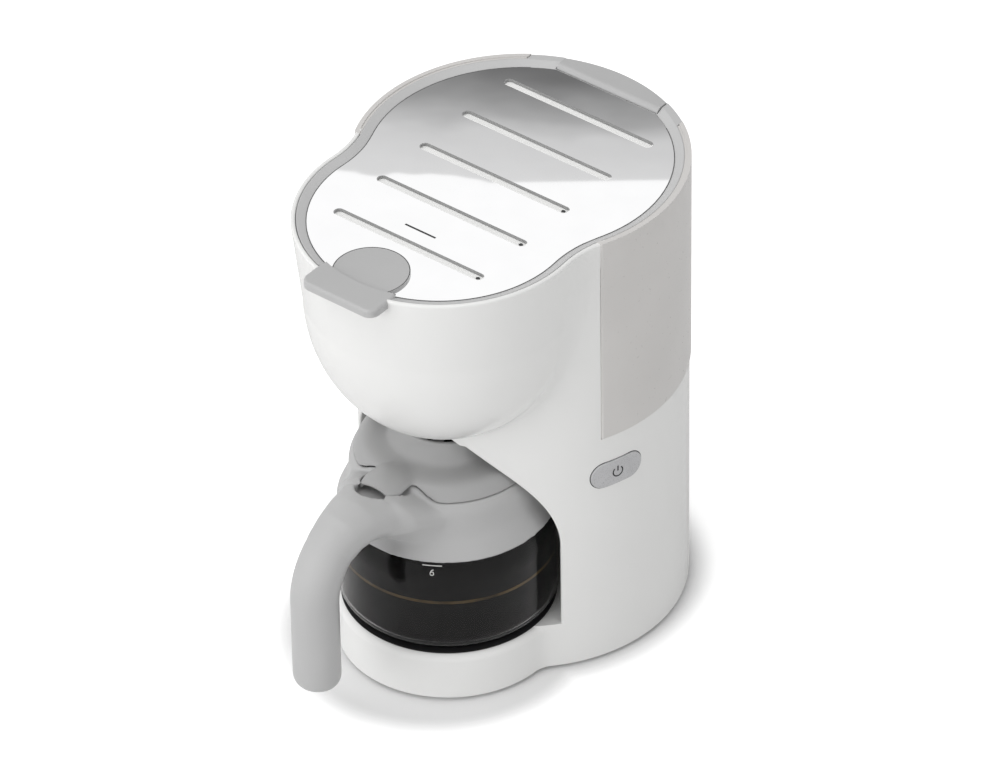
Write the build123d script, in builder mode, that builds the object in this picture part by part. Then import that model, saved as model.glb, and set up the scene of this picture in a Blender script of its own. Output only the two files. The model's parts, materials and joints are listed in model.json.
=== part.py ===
from build123d import *
from math import cos, radians, sin, sqrt, tan
import os

os.makedirs("parts", exist_ok=True)

# overall form, millimetres, front towards -Y
BODY_TOP = 279.0
COLUMN_R = 89.0
TANK_R = 89.8
HEAD_R = 78.5
HEAD_OFFSET = 66.5
WAIST_R = 58.0
FOOT_R = 61.0
FOOT_WAIST_R = 15.0
GRIP_REACH = 112.0
GRIP_HALF_DEPTH = 12.6
GRIP_HALF_WIDTH = 13.2
WALL = 2.8

# the frame origin is under the middle of the whole depth
COLUMN_Y = (HEAD_OFFSET + GRIP_REACH + GRIP_HALF_DEPTH - TANK_R) / 2
HEAD_Y = COLUMN_Y - HEAD_OFFSET

# heights
FOOT_PAD = 2.5
COVER_TOP = 5.0
DECK_Z = 31.0
PLATE_Z = 31.6
SPLIT_Z = 150.0
LOFT_Z = 160.0
BOWL_BOTTOM = 149.4
BOWL_KNEE = 231.0
PANEL_Y = COLUMN_Y - 37.0
PLATE_HOLE_R = 53.0
FOOT_ROUND = 5.0
EDGE_ROUND = 1.2

# carafe bay, radius about the carafe axis against height
BAY_R = 68.3
BAY_POINTS = [(BAY_R, 82.0), (64.2, 106.0), (57.0, 120.5), (42.0, 139.0), (27.5, 153.5)]

# lid
LID_GAP = 0.5
LIP = 2.5
LID_BOTTOM = 270.0
LID_UNDER = 272.6
LID_FLOOR = 274.8
STEEL_TOP = 276.5
STEEL_T = 0.9
STEEL_INSET = 8.4
RING_TOP = 278.4
SLOT_LENGTH = 98.0
SLOT_WIDTH = 6.0
SLOT_PITCH = 35.9
SLOT_COUNT = 5
SLOT_FIRST_Y = COLUMN_Y - 91.0
TAB_PAD_R = 20.4
TAB_PAD_Y = HEAD_Y - 58.3
TAB_PAD_T = 1.3
TAB_WIDTH = 48.0
TAB_FRONT_Y = HEAD_Y - HEAD_R - 9.0
TAB_BACK_Y = HEAD_Y - HEAD_R + 14.0
TAB_LIP_LOW = 274.4
TAB_GROOVE = 0.8
TAB_ROUND = 1.5
HINGE_Y = COLUMN_Y + 77.4
HINGE_Z = 276.0
HINGE_PIN_R = 1.0
HINGE_BLOCK_HALF = 33.5
HINGE_BLOCK_LOW = 262.0
HINGE_LUG_OUT = 50.0
KNUCKLE_R = BODY_TOP - HINGE_Z
LID_REAR_Y = HINGE_Y - KNUCKLE_R - 0.4

# power button
BUTTON_ANGLE = -18.3
BUTTON_Z = 125.5
BUTTON_LENGTH = 32.0
BUTTON_HEIGHT = 16.0
BUTTON_GAP = 0.35
BUTTON_OUT = 0.9

# carafe
GLASS_R = 59.8
GLASS_T = 2.2
GLASS_BOTTOM = PLATE_Z + 0.05
COLLAR_LOW = 93.2
COLLAR_R = 59.4
PARTING_Z = 122.4
CHIMNEY_R = 25.5
CHIMNEY_TOP = 147.4
GRIP_BOTTOM = 37.0
GRIP_ROUND = 7.0
ROOT_REACH = 44.0
ROOT_Z = 108.5
ROOT_RISE = 35.0
BEND_R = 33.0
ROOT_LOBE_TOP = 129.0
ROOT_FLARE = 18.0
ROOT_FLARE_END = 0.5
ROOT_LIFT = 0.2
DISH_R = 9.0
DISH_Z = 127.0
DISH_REACH = 62.5
HOOD_Y = HEAD_Y - 46.0
HOOD_Z = 127.0
HOOD_LENGTH = 20.0
HOOD_R = 12.0
HOOD_T = 2.0
HOOD_MOUTH_REACH = 57.0

# filter holder and drip stop
HOLDER_R = 60.0
HOLDER_RIM_R = 65.5
HOLDER_TOP = 254.0
LEDGE_Z = 248.0
NOZZLE_R = 8.0
NOZZLE_BORE_R = 5.2
STOP_TRAVEL = 3.0
STOP_TIP_Z = 148.6
TANK_HOLLOW_R = 68.0

# water way
PIPE_X = 45.0
PIPE_Y = COLUMN_Y + 25.0
HEATER_X = 19.5
HEATER_R = 34.0
HEATER_Z = 21.8
HOSE_R = 5.6
HOSE_BORE_R = 4.05
NIPPLE_R = 4.0
PIPE_BORE_R = 2.4


def save(builder, name):
    builder.part.label = name
    export_step(builder.part, f"parts/{name}.step")


def head_radius(z):
    """Radius of the brew head about its own axis at height z."""
    knee_r = HEAD_R - 4.9
    if z >= BOWL_KNEE:
        return knee_r + (HEAD_R - knee_r) * (z - BOWL_KNEE) / (BODY_TOP - BOWL_KNEE)
    drop = min((BOWL_KNEE - z) / (BOWL_KNEE - BOWL_BOTTOM), 1.0)
    return 2.0 + (knee_r - 2.0) * sqrt(1.0 - drop * drop)


def waist_radius(z):
    """Radius of the hollow blend between head and column at height z."""
    share = max(z - SPLIT_Z, 0.0) / (BODY_TOP - SPLIT_Z)
    return 4.0 + (WAIST_R - 4.0) * share ** 1.5


def bulb(z, rear_r, front_r, waist_r):
    """Outline of two circles joined by hollow arcs, lying at height z."""
    reach_rear = rear_r + waist_r
    reach_front = front_r + waist_r
    back = (reach_rear**2 - reach_front**2 + HEAD_OFFSET**2) / (2 * HEAD_OFFSET)
    waist = Vector(sqrt(reach_rear**2 - back**2), COLUMN_Y - back)
    rear_mid = Vector(0, COLUMN_Y)
    front_mid = Vector(0, HEAD_Y)
    rear_end = rear_mid + (waist - rear_mid) * (rear_r / reach_rear)
    front_end = front_mid + (waist - front_mid) * (front_r / reach_front)
    hollow = waist + ((rear_end + front_end) * 0.5 - waist).normalized() * waist_r
    with BuildSketch(Plane.XY.offset(z)) as outline:
        with BuildLine():
            ThreePointArc(rear_end, (0, COLUMN_Y + rear_r), (-rear_end.X, rear_end.Y))
            ThreePointArc((-rear_end.X, rear_end.Y), (-hollow.X, hollow.Y), (-front_end.X, front_end.Y))
            ThreePointArc((-front_end.X, front_end.Y), (0, HEAD_Y - front_r), front_end)
            ThreePointArc(front_end, hollow, rear_end)
        make_face()
    return outline.sketch


def top_outline(z, inset):
    """Outline of the body top, moved inwards by inset, lying at height z."""
    return bulb(z, COLUMN_R - inset, HEAD_R - inset, WAIST_R + inset)


def foot_outline(z, inset):
    """Outline of the base, moved inwards by inset, lying at height z."""
    return bulb(z, COLUMN_R - inset, FOOT_R - inset, FOOT_WAIST_R + inset)


def disc(x, y, z, radius):
    """Round face at height z."""
    with BuildSketch(Plane.XY.offset(z)) as face:
        with Locations((x, y)):
            Circle(radius)
    return face.sketch


def ring(x, y, z, outer_r, inner_r):
    """Ring-shaped face at height z."""
    with BuildSketch(Plane.XY.offset(z)) as face:
        with Locations((x, y)):
            Circle(outer_r)
            Circle(inner_r, mode=Mode.SUBTRACT)
    return face.sketch


def block(x_range, y_range, z):
    """Rectangular face at height z."""
    with BuildSketch(Plane.XY.offset(z)) as face:
        with Locations(((x_range[0] + x_range[1]) / 2, (y_range[0] + y_range[1]) / 2)):
            Rectangle(x_range[1] - x_range[0], y_range[1] - y_range[0])
    return face.sketch


def rear_band(x_range, outer_r, inner_r, z):
    """Part of a ring about the column axis, behind it and between two widths."""
    with BuildSketch(Plane.XY.offset(z)) as face:
        with Locations((0, COLUMN_Y)):
            Circle(outer_r)
            Circle(inner_r, mode=Mode.SUBTRACT)
        with Locations(((x_range[0] + x_range[1]) / 2, COLUMN_Y + 50)):
            Rectangle(x_range[1] - x_range[0], 100, mode=Mode.INTERSECT)
    return face.sketch


HEAD_AXIS = Axis((0, HEAD_Y, 0), (0, 0, 1))
HEAD_PLANE = Plane(origin=(0, HEAD_Y, 0), x_dir=(0, -1, 0), z_dir=(-1, 0, 0))


def turned(points):
    """Closed profile of radius and height pairs, ready to turn about the head axis."""
    with BuildSketch(HEAD_PLANE) as profile:
        with BuildLine():
            Polyline(*points, close=True)
        make_face()
    return profile.sketch


def turned_smooth(start, curve, end):
    """Profile with straight ends and one smooth run of points, turned about the head axis."""
    with BuildSketch(HEAD_PLANE) as profile:
        with BuildLine():
            Spline(*curve)
            corners = [curve[-1], *end, *start, curve[0]]
            Polyline(*[p for i, p in enumerate(corners) if i == 0 or p != corners[i - 1]])
        make_face()
    return profile.sketch


def bay_profile(grow):
    """Profile of the carafe bay with its radius enlarged by grow."""
    floor_z = DECK_Z - grow
    curve = [(r + grow, z) for r, z in BAY_POINTS]
    return turned_smooth([(0, floor_z), (BAY_R + grow, floor_z)], curve, [(0, BAY_POINTS[-1][1])])


def bowl_profile(inset):
    """Profile of the lowest part of the bowl, moved inwards by inset."""
    low = BOWL_BOTTOM + inset
    heights = [low + (LOFT_Z + inset - low) * step**2 / 36 for step in range(1, 7)]
    curve = [(2.0, low)] + [(max(head_radius(z - inset * 0.6) - inset, 2.5), z) for z in heights]
    return turned_smooth([(0, low)], curve, [(0, heights[-1])])


HEAD_HEIGHTS = [LOFT_Z, 164.0, 169.0, 175.0, 182.0, 190.0, 199.0, 209.0, 220.0, BOWL_KNEE, 255.0, BODY_TOP]


def head_sections(inset):
    """Outlines of the upper body from the bowl to the rim."""
    return [
        bulb(z, COLUMN_R - inset, head_radius(z) - inset, waist_radius(z) + inset) for z in HEAD_HEIGHTS
    ]


BUTTON_DIR = (cos(radians(BUTTON_ANGLE)), sin(radians(BUTTON_ANGLE)), 0)


def button_plane(radius):
    """Plane square to the button stroke at a distance from the column axis."""
    origin = (BUTTON_DIR[0] * radius, COLUMN_Y + BUTTON_DIR[1] * radius, BUTTON_Z)
    return Plane(origin=origin, x_dir=(-BUTTON_DIR[1], BUTTON_DIR[0], 0), z_dir=BUTTON_DIR)


def button_face(radius, grow):
    """Stadium outline of the button, enlarged by grow."""
    with BuildSketch(button_plane(radius)) as face:
        SlotOverall(BUTTON_LENGTH + 2 * grow, BUTTON_HEIGHT + 2 * grow)
    return face.sketch


FRONT_BOSSES = [(-36.0, HEAD_Y - 37.0), (36.0, HEAD_Y - 37.0)]
REAR_BOSSES = [(-58.5, COLUMN_Y + 58.5), (58.5, COLUMN_Y + 58.5)]
FEET = [(-45.0, HEAD_Y - 16.0), (45.0, HEAD_Y - 16.0), (-45.0, COLUMN_Y + 60.0), (45.0, COLUMN_Y + 60.0)]
GLAND_Z = 18.0
GLAND_R = 8.0
BOSS_R = 4.5
SCREW_R = 1.55

# space inside the lower body
with BuildPart() as lower_space:
    extrude(disc(0, COLUMN_Y, FOOT_PAD, COLUMN_R - WALL), amount=SPLIT_Z - WALL - FOOT_PAD)
    revolve(bay_profile(WALL), axis=HEAD_AXIS, mode=Mode.SUBTRACT)
    extrude(foot_outline(FOOT_PAD, WALL), amount=DECK_Z - WALL - FOOT_PAD)

# round foot with a soft upper edge
with BuildPart() as foot:
    extrude(foot_outline(FOOT_PAD, 0), amount=DECK_Z - FOOT_PAD)
    fillet(foot.edges().group_by(Axis.Z)[-1], FOOT_ROUND)

# column with the edge of the carafe bay broken
with BuildPart() as column:
    extrude(disc(0, COLUMN_Y, FOOT_PAD, COLUMN_R), amount=SPLIT_Z - FOOT_PAD)
    revolve(bay_profile(0), axis=HEAD_AXIS, mode=Mode.SUBTRACT)
    bay_edges = [
        edge
        for edge in column.edges()
        if abs((edge @ 0.5 - Vector(0, COLUMN_Y, (edge @ 0.5).Z)).length - COLUMN_R) < 0.01
        and DECK_Z < (edge @ 0.5).Z < SPLIT_Z - 1
        and (edge @ 0.5).Y < PANEL_Y
    ]
    fillet(bay_edges, EDGE_ROUND)

# lower body: column with the carafe bay and the round foot
with BuildPart() as lower_housing:
    add(foot.part)
    add(column.part)
    add(lower_space.part, mode=Mode.SUBTRACT)
    extrude(disc(0, HEAD_Y, DECK_Z - WALL, PLATE_HOLE_R), amount=WALL, mode=Mode.SUBTRACT)
    for x, y in FRONT_BOSSES:
        extrude(disc(x, y, COVER_TOP, BOSS_R), amount=DECK_Z - WALL - COVER_TOP)
    for x, y in REAR_BOSSES:
        extrude(disc(x, y, COVER_TOP, BOSS_R), amount=40.0)
    for x, y in FRONT_BOSSES + REAR_BOSSES:
        extrude(disc(x, y, COVER_TOP, SCREW_R), amount=14.0, mode=Mode.SUBTRACT)
    for side in (-1, 1):
        extrude(disc(side * PIPE_X, PIPE_Y, SPLIT_Z - WALL, 9.0), amount=WALL, mode=Mode.SUBTRACT)
    extrude(button_face(COLUMN_R - 8.0, BUTTON_GAP), amount=12.0, mode=Mode.SUBTRACT)
    with BuildSketch(Plane.XZ.offset(-(COLUMN_Y + 95.0))):
        with Locations((0, GLAND_Z)):
            Circle(GLAND_R)
    extrude(amount=15.0, mode=Mode.SUBTRACT)
save(lower_housing, "lower_housing")

# space inside the upper body
with BuildPart() as upper_space:
    extrude(disc(0, COLUMN_Y, SPLIT_Z + WALL, COLUMN_R - WALL), amount=LOFT_Z - SPLIT_Z - WALL)
    revolve(bay_profile(WALL), axis=HEAD_AXIS, mode=Mode.SUBTRACT)
    revolve(bowl_profile(WALL), axis=HEAD_AXIS)
    loft(head_sections(WALL), ruled=True)


def ledge_face(z):
    """Open ring inside the bowl that carries the filter holder."""
    with BuildSketch(Plane.XY.offset(z)) as face:
        with Locations((0, HEAD_Y)):
            Circle(head_radius(z) - 1.5)
            Circle(HOLDER_R + 1.5, mode=Mode.SUBTRACT)
        with Locations((0, PANEL_Y + 88)):
            Rectangle(240, 200, mode=Mode.SUBTRACT)
    return face.sketch


# upper body: waist and bowl of the brew head
with BuildPart() as upper_housing:
    extrude(disc(0, COLUMN_Y, SPLIT_Z, COLUMN_R), amount=LOFT_Z - SPLIT_Z)
    revolve(bay_profile(0), axis=HEAD_AXIS, mode=Mode.SUBTRACT)
    revolve(bowl_profile(0), axis=HEAD_AXIS)
    loft(head_sections(0), ruled=True)
    add(upper_space.part, mode=Mode.SUBTRACT)
    extrude(
        block((-120, 120), (PANEL_Y, COLUMN_Y + 120), BOWL_BOTTOM - 5), amount=200.0, mode=Mode.SUBTRACT
    )
    extrude(ledge_face(LEDGE_Z), amount=3.9)
    revolve(turned([(14, 151.6), (20.5, 153.5), (29, 156.6), (29, 158.5), (14, 158.5)]), axis=HEAD_AXIS)
    extrude(disc(0, HEAD_Y, BOWL_BOTTOM - 5, NOZZLE_R + 2.0), amount=20.0, mode=Mode.SUBTRACT)
    extrude(top_outline(LID_BOTTOM - 0.6, LIP), amount=20.0, mode=Mode.SUBTRACT)
    tab_half = TAB_WIDTH / 2 + 0.6
    tab_notch = block((-tab_half, tab_half), (TAB_FRONT_Y - 5, TAB_BACK_Y), TAB_LIP_LOW - 0.5)
    extrude(tab_notch, amount=10.0, mode=Mode.SUBTRACT)
save(upper_housing, "upper_housing")

# rear water tank, open at the top, hollowed in front for the filter holder
TANK_WALL = 2.4
TANK_FRONT_Y = PANEL_Y + 0.2
TANK_FLOOR = SPLIT_Z + TANK_WALL
TANK_WALL_TOP = 257.0


def tank_face(z, inset):
    """Crescent outline of the tank, moved inwards by inset."""
    with BuildSketch(Plane.XY.offset(z)) as face:
        with Locations((0, COLUMN_Y)):
            Circle(TANK_R - inset)
        with Locations((0, HEAD_Y)):
            Circle(TANK_HOLLOW_R + inset, mode=Mode.SUBTRACT)
        with Locations((0, TANK_FRONT_Y + inset - 100)):
            Rectangle(240, 200, mode=Mode.SUBTRACT)
    return face.sketch


def tank_hollow(z):
    """Outline of the tank's front wall round the filter holder."""
    with BuildSketch(Plane.XY.offset(z)) as face:
        with Locations((0, HEAD_Y)):
            Circle(TANK_HOLLOW_R + TANK_WALL + 0.5)
        with Locations((0, COLUMN_Y)):
            Circle(TANK_R - TANK_WALL, mode=Mode.INTERSECT)
        with Locations((0, TANK_FRONT_Y - 100)):
            Rectangle(240, 200, mode=Mode.SUBTRACT)
    return face.sketch


with BuildPart() as water_tank:
    extrude(tank_face(SPLIT_Z, 0), amount=BODY_TOP - SPLIT_Z)
    outer_edges = water_tank.edges().filter_by(Axis.Z).sort_by(Axis.Y)[:2]
    fillet(outer_edges, EDGE_ROUND)
    lower_edge = water_tank.edges().group_by(Axis.Z)[0].filter_by(GeomType.CIRCLE).sort_by(SortBy.RADIUS)[-1]
    fillet(lower_edge, EDGE_ROUND)
    extrude(tank_face(TANK_FLOOR, TANK_WALL), amount=BODY_TOP - TANK_FLOOR, mode=Mode.SUBTRACT)
    extrude(tank_hollow(TANK_WALL_TOP), amount=30.0, mode=Mode.SUBTRACT)
    notch_half = HINGE_LUG_OUT + 0.4
    notch = block((-notch_half, notch_half), (COLUMN_Y + 60, COLUMN_Y + 100), HINGE_BLOCK_LOW)
    extrude(notch, amount=30.0, mode=Mode.SUBTRACT)
    extrude(top_outline(LID_BOTTOM - 0.6, LIP), amount=20.0, mode=Mode.SUBTRACT)
    extrude(disc(-PIPE_X, PIPE_Y, SPLIT_Z - 12, NIPPLE_R), amount=13.0)
    extrude(disc(-PIPE_X, PIPE_Y, SPLIT_Z - 12, PIPE_BORE_R), amount=20.0, mode=Mode.SUBTRACT)
    extrude(disc(PIPE_X, PIPE_Y, SPLIT_Z - 1, 7.0), amount=10.0, mode=Mode.SUBTRACT)
save(water_tank, "water_tank")

# fixed hinge block in the rear rim of the tank
PIN_IN = 28.5
PIN_OUT = 42.0


def pin_pair(start, end, radius):
    """Two round rods on the hinge axis, one on each side."""
    with BuildPart() as rods:
        for side in (-1, 1):
            with BuildSketch(Plane(origin=(side * start, HINGE_Y, HINGE_Z), z_dir=(side, 0, 0))):
                Circle(radius)
            extrude(amount=end - start)
    return rods.part


with BuildPart() as hinge_block:
    knuckle_front = HINGE_Y - KNUCKLE_R
    half_root = KNUCKLE_R * sin(radians(45))
    with BuildSketch(Plane.YZ):
        with BuildLine():
            ThreePointArc(
                (knuckle_front, HINGE_Z),
                (HINGE_Y - half_root, HINGE_Z + half_root),
                (HINGE_Y, BODY_TOP),
            )
            Polyline(
                (HINGE_Y, BODY_TOP),
                (COLUMN_Y + 100, BODY_TOP),
                (COLUMN_Y + 100, HINGE_BLOCK_LOW),
                (knuckle_front, HINGE_BLOCK_LOW),
                (knuckle_front, HINGE_Z),
            )
        make_face()
    extrude(amount=HINGE_BLOCK_HALF, both=True)
    extrude(disc(0, COLUMN_Y, HINGE_BLOCK_LOW - 5, TANK_R), amount=40.0, mode=Mode.INTERSECT)
    fillet(hinge_block.edges().group_by(Axis.Z)[-1].filter_by(GeomType.CIRCLE), 2.0)
    add(pin_pair(PIN_IN - 0.5, HINGE_BLOCK_HALF + 1, HINGE_PIN_R + 0.04), mode=Mode.SUBTRACT)
save(hinge_block, "hinge_block")


def lip_face(z):
    """Outline of the lid grip in front of the steel plate."""
    with BuildSketch(Plane.XY.offset(z)) as face:
        with Locations((0, (TAB_FRONT_Y + TAB_BACK_Y) / 2)):
            RectangleRounded(TAB_WIDTH, TAB_BACK_Y - TAB_FRONT_Y, 6.0)
        with Locations((0, HEAD_Y)):
            Circle(HEAD_R - STEEL_INSET + 0.2, mode=Mode.SUBTRACT)
    return face.sketch


def overhang_face(z):
    """Outline of the part of the lid grip that stands over the rim."""
    with BuildSketch(Plane.XY.offset(z)) as face:
        with Locations((0, (TAB_FRONT_Y + TAB_BACK_Y) / 2)):
            RectangleRounded(TAB_WIDTH, TAB_BACK_Y - TAB_FRONT_Y, 6.0)
        with Locations((0, HEAD_Y)):
            Circle(HEAD_R - LIP, mode=Mode.SUBTRACT)
    return face.sketch


# lid ring with floor and two hinge lugs
LUG_IN = HINGE_BLOCK_HALF + 0.5
LUG_ROOT_R = 73.4
with BuildPart() as lid_frame:
    extrude(top_outline(LID_BOTTOM, LIP + LID_GAP), amount=RING_TOP - LID_BOTTOM)
    for lug in ((-HINGE_LUG_OUT, -LUG_IN), (LUG_IN, HINGE_LUG_OUT)):
        extrude(rear_band(lug, TANK_R, LUG_ROOT_R, LID_BOTTOM), amount=RING_TOP - LID_BOTTOM)
    extrude(top_outline(LID_FLOOR, STEEL_INSET + 3.5), amount=20.0, mode=Mode.SUBTRACT)
    underside = top_outline(LID_BOTTOM - 1, STEEL_INSET + 3.5)
    extrude(underside, amount=LID_UNDER - LID_BOTTOM + 1, mode=Mode.SUBTRACT)
    extrude(top_outline(STEEL_TOP - STEEL_T, STEEL_INSET - 0.3), amount=20.0, mode=Mode.SUBTRACT)
    loft(
        [top_outline(STEEL_TOP - 0.2, STEEL_INSET - 0.3), top_outline(RING_TOP + 0.8, LIP + LID_GAP - 1.2)],
        ruled=True,
        mode=Mode.SUBTRACT,
    )
    rear_gap = block((-LUG_IN, LUG_IN), (LID_REAR_Y, COLUMN_Y + 100), LID_BOTTOM - 1)
    extrude(rear_gap, amount=20.0, mode=Mode.SUBTRACT)
    add(pin_pair(LUG_IN - 1, PIN_OUT, HINGE_PIN_R), mode=Mode.SUBTRACT)
    extrude(disc(0, TAB_PAD_Y, STEEL_TOP, TAB_PAD_R), amount=5.0, mode=Mode.SUBTRACT)
    extrude(lip_face(STEEL_TOP + 0.1), amount=5.0, mode=Mode.SUBTRACT)
save(lid_frame, "lid_frame")

with BuildPart() as lid_pin:
    add(pin_pair(PIN_IN, PIN_OUT, HINGE_PIN_R))
save(lid_pin, "lid_pin")

# polished steel plate with five slots
with BuildPart() as lid_plate:
    extrude(top_outline(STEEL_TOP - STEEL_T, STEEL_INSET), amount=STEEL_T)
    plate_end = block((-LUG_IN, LUG_IN), (LID_REAR_Y - 0.3, COLUMN_Y + 100), STEEL_TOP - STEEL_T)
    extrude(plate_end, amount=STEEL_T, mode=Mode.SUBTRACT)
    with BuildSketch(Plane.XY.offset(STEEL_TOP - STEEL_T)):
        for row in range(SLOT_COUNT):
            with Locations((0, SLOT_FIRST_Y + SLOT_PITCH * row - SLOT_WIDTH / 2)):
                SlotOverall(SLOT_LENGTH, SLOT_WIDTH)
    extrude(amount=STEEL_T, mode=Mode.SUBTRACT)
save(lid_plate, "lid_plate")

# front grip of the lid: round pad on the plate and a lip over the rim, parted by a groove
GROOVE_R = HEAD_R - STEEL_INSET + TAB_GROOVE
with BuildPart() as lid_tab:
    extrude(disc(0, TAB_PAD_Y, STEEL_TOP, TAB_PAD_R), amount=TAB_PAD_T)
    extrude(lip_face(STEEL_TOP + 0.1), amount=BODY_TOP - STEEL_TOP - 0.1)
    extrude(overhang_face(TAB_LIP_LOW), amount=BODY_TOP - TAB_LIP_LOW)
    lip_rim = [
        edge
        for edge in lid_tab.edges().group_by(Axis.Z)[-1]
        if (edge @ 0.5 - Vector(0, HEAD_Y, BODY_TOP)).length > HEAD_R - STEEL_INSET + 1
    ]
    fillet(lip_rim, TAB_ROUND)
    groove = ring(0, HEAD_Y, STEEL_TOP + 0.7, GROOVE_R, HEAD_R - STEEL_INSET)
    extrude(groove, amount=5.0, mode=Mode.SUBTRACT)
save(lid_tab, "lid_tab")

# spray head under the lid, over the filter holder
SPRAY_R = 32.0
SPRAY_LOW = 260.0
SPRAY_STEM_R = 7.0
with BuildPart() as spray_head:
    spray_profile = [
        (0, SPRAY_LOW),
        (SPRAY_R, SPRAY_LOW),
        (SPRAY_R, SPRAY_LOW + 4.5),
        (SPRAY_R - 1.6, SPRAY_LOW + 4.5),
        (SPRAY_R - 1.6, SPRAY_LOW + 1.8),
        (SPRAY_STEM_R, SPRAY_LOW + 1.8),
        (SPRAY_STEM_R, LID_UNDER),
        (0, LID_UNDER),
    ]
    revolve(turned(spray_profile), axis=HEAD_AXIS)
    with BuildSketch(Plane.XY.offset(SPRAY_LOW - 1)):
        with Locations((0, HEAD_Y)):
            with PolarLocations(13.0, 8):
                Circle(1.2)
            with PolarLocations(23.0, 14):
                Circle(1.2)
    extrude(amount=4.0, mode=Mode.SUBTRACT)
save(spray_head, "spray_head")

# filter holder with outlet nozzle
HOLDER_FLOOR = 170.0
HOLDER_T = 2.0
with BuildPart() as filter_holder:
    revolve(
        turned(
            [
                (NOZZLE_BORE_R, 151.0),
                (NOZZLE_R, 151.0),
                (NOZZLE_R, HOLDER_FLOOR - 2),
                (24, HOLDER_FLOOR + 4),
                (43, 190),
                (HOLDER_R, 240),
                (HOLDER_R, HOLDER_TOP - 2),
                (HOLDER_RIM_R, HOLDER_TOP - 2),
                (HOLDER_RIM_R, HOLDER_TOP),
                (HOLDER_R - HOLDER_T, HOLDER_TOP),
                (HOLDER_R - HOLDER_T, 240),
                (41, 191),
                (23, HOLDER_FLOOR + 6),
                (NOZZLE_BORE_R, HOLDER_FLOOR),
            ]
        ),
        axis=HEAD_AXIS,
    )
save(filter_holder, "filter_holder")

# drip stop plunger, lifted while the carafe stands below it
STOP_DISC_Z = HOLDER_FLOOR + STOP_TRAVEL + 2.0
FIN_HALF = 5.05
with BuildPart() as drip_stop:
    extrude(disc(0, HEAD_Y, STOP_TIP_Z, 2.6), amount=STOP_DISC_Z - STOP_TIP_Z)
    extrude(disc(0, HEAD_Y, STOP_DISC_Z, 7.5), amount=2.0)
    for across, along in ((FIN_HALF, 0.8), (0.8, FIN_HALF)):
        extrude(block((-across, across), (HEAD_Y - along, HEAD_Y + along), 154.5), amount=11.0)
save(drip_stop, "drip_stop")

with BuildPart() as drip_seal:
    extrude(ring(0, HEAD_Y, STOP_DISC_Z - 1.2, 6.6, 2.6), amount=1.2)
save(drip_seal, "drip_seal")

# bottom cover, feet and screws
with BuildPart() as bottom_cover:
    extrude(foot_outline(FOOT_PAD, WALL + 0.3), amount=COVER_TOP - FOOT_PAD)
    for x, y in FRONT_BOSSES + REAR_BOSSES:
        extrude(disc(x, y, FOOT_PAD, SCREW_R + 0.2), amount=5.0, mode=Mode.SUBTRACT)
        extrude(disc(x, y, FOOT_PAD, 3.4), amount=1.3, mode=Mode.SUBTRACT)
    for x, y in FEET:
        extrude(disc(x, y, FOOT_PAD, 3.0), amount=5.0, mode=Mode.SUBTRACT)
    with BuildSketch(Plane.XY.offset(FOOT_PAD)):
        for row in range(6):
            with Locations((0, COLUMN_Y + 8 + row * 8)):
                SlotOverall(40, 3)
    extrude(amount=5.0, mode=Mode.SUBTRACT)
save(bottom_cover, "bottom_cover")

with BuildPart() as rubber_feet:
    for x, y in FEET:
        extrude(disc(x, y, 0, 8.0), amount=FOOT_PAD)
        extrude(disc(x, y, FOOT_PAD, 3.0), amount=COVER_TOP - FOOT_PAD)
save(rubber_feet, "rubber_feet")

with BuildPart() as cover_screws:
    for x, y in FRONT_BOSSES + REAR_BOSSES:
        extrude(disc(x, y, FOOT_PAD, 3.2), amount=1.3)
        extrude(disc(x, y, FOOT_PAD + 1.3, SCREW_R - 0.05), amount=13.0)
save(cover_screws, "cover_screws")

# hotplate and its seal in the foot deck
HOTPLATE_R = 51.4
with BuildPart() as hotplate:
    extrude(disc(0, HEAD_Y, PLATE_Z - 1.4, HOTPLATE_R), amount=1.4)
save(hotplate, "hotplate")

with BuildPart() as hotplate_seal:
    extrude(ring(0, HEAD_Y, DECK_Z - WALL, PLATE_HOLE_R, HOTPLATE_R), amount=WALL + 0.2)
save(hotplate_seal, "hotplate_seal")

# cast heater: an open ring with two pipe ends towards the column
HEATER_TOP = PLATE_Z - 1.4
HEATER_LOW = HEATER_TOP - 11.0
PIPE_END_Y = HEAD_Y + 50.0
with BuildPart() as heater:
    extrude(ring(0, HEAD_Y, HEATER_LOW, HEATER_R + 7, HEATER_R - 7), amount=HEATER_TOP - HEATER_LOW)
    mouth = block((-12, 12), (HEAD_Y + 5, HEAD_Y + 60), HEATER_LOW)
    extrude(mouth, amount=HEATER_TOP - HEATER_LOW, mode=Mode.SUBTRACT)
    for side in (-1, 1):
        with BuildSketch(Plane.XZ.offset(-PIPE_END_Y)):
            with Locations((side * HEATER_X, HEATER_Z)):
                Circle(NIPPLE_R)
        extrude(amount=PIPE_END_Y - HEAD_Y - 26)
        with BuildSketch(Plane.XZ.offset(-PIPE_END_Y)):
            with Locations((side * HEATER_X, HEATER_Z)):
                Circle(PIPE_BORE_R)
        extrude(amount=PIPE_END_Y - HEAD_Y - 24, mode=Mode.SUBTRACT)
save(heater, "heater")

with BuildPart() as heater_clamp:
    extrude(block((-46, 46), (HEAD_Y - 8, HEAD_Y + 8), HEATER_LOW - 1.5), amount=1.5)
save(heater_clamp, "heater_clamp")

with BuildPart() as thermostat:
    extrude(disc(0, HEAD_Y - HEATER_R, HEATER_LOW - 9, 8.0), amount=9.0)
    blade_y = (HEAD_Y - HEATER_R - 3, HEAD_Y - HEATER_R + 3)
    for side in (-1, 1):
        extrude(block((side * 4 - 0.5, side * 4 + 0.5), blade_y, HEATER_LOW - 13), amount=4.0)
save(thermostat, "thermostat")

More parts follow.
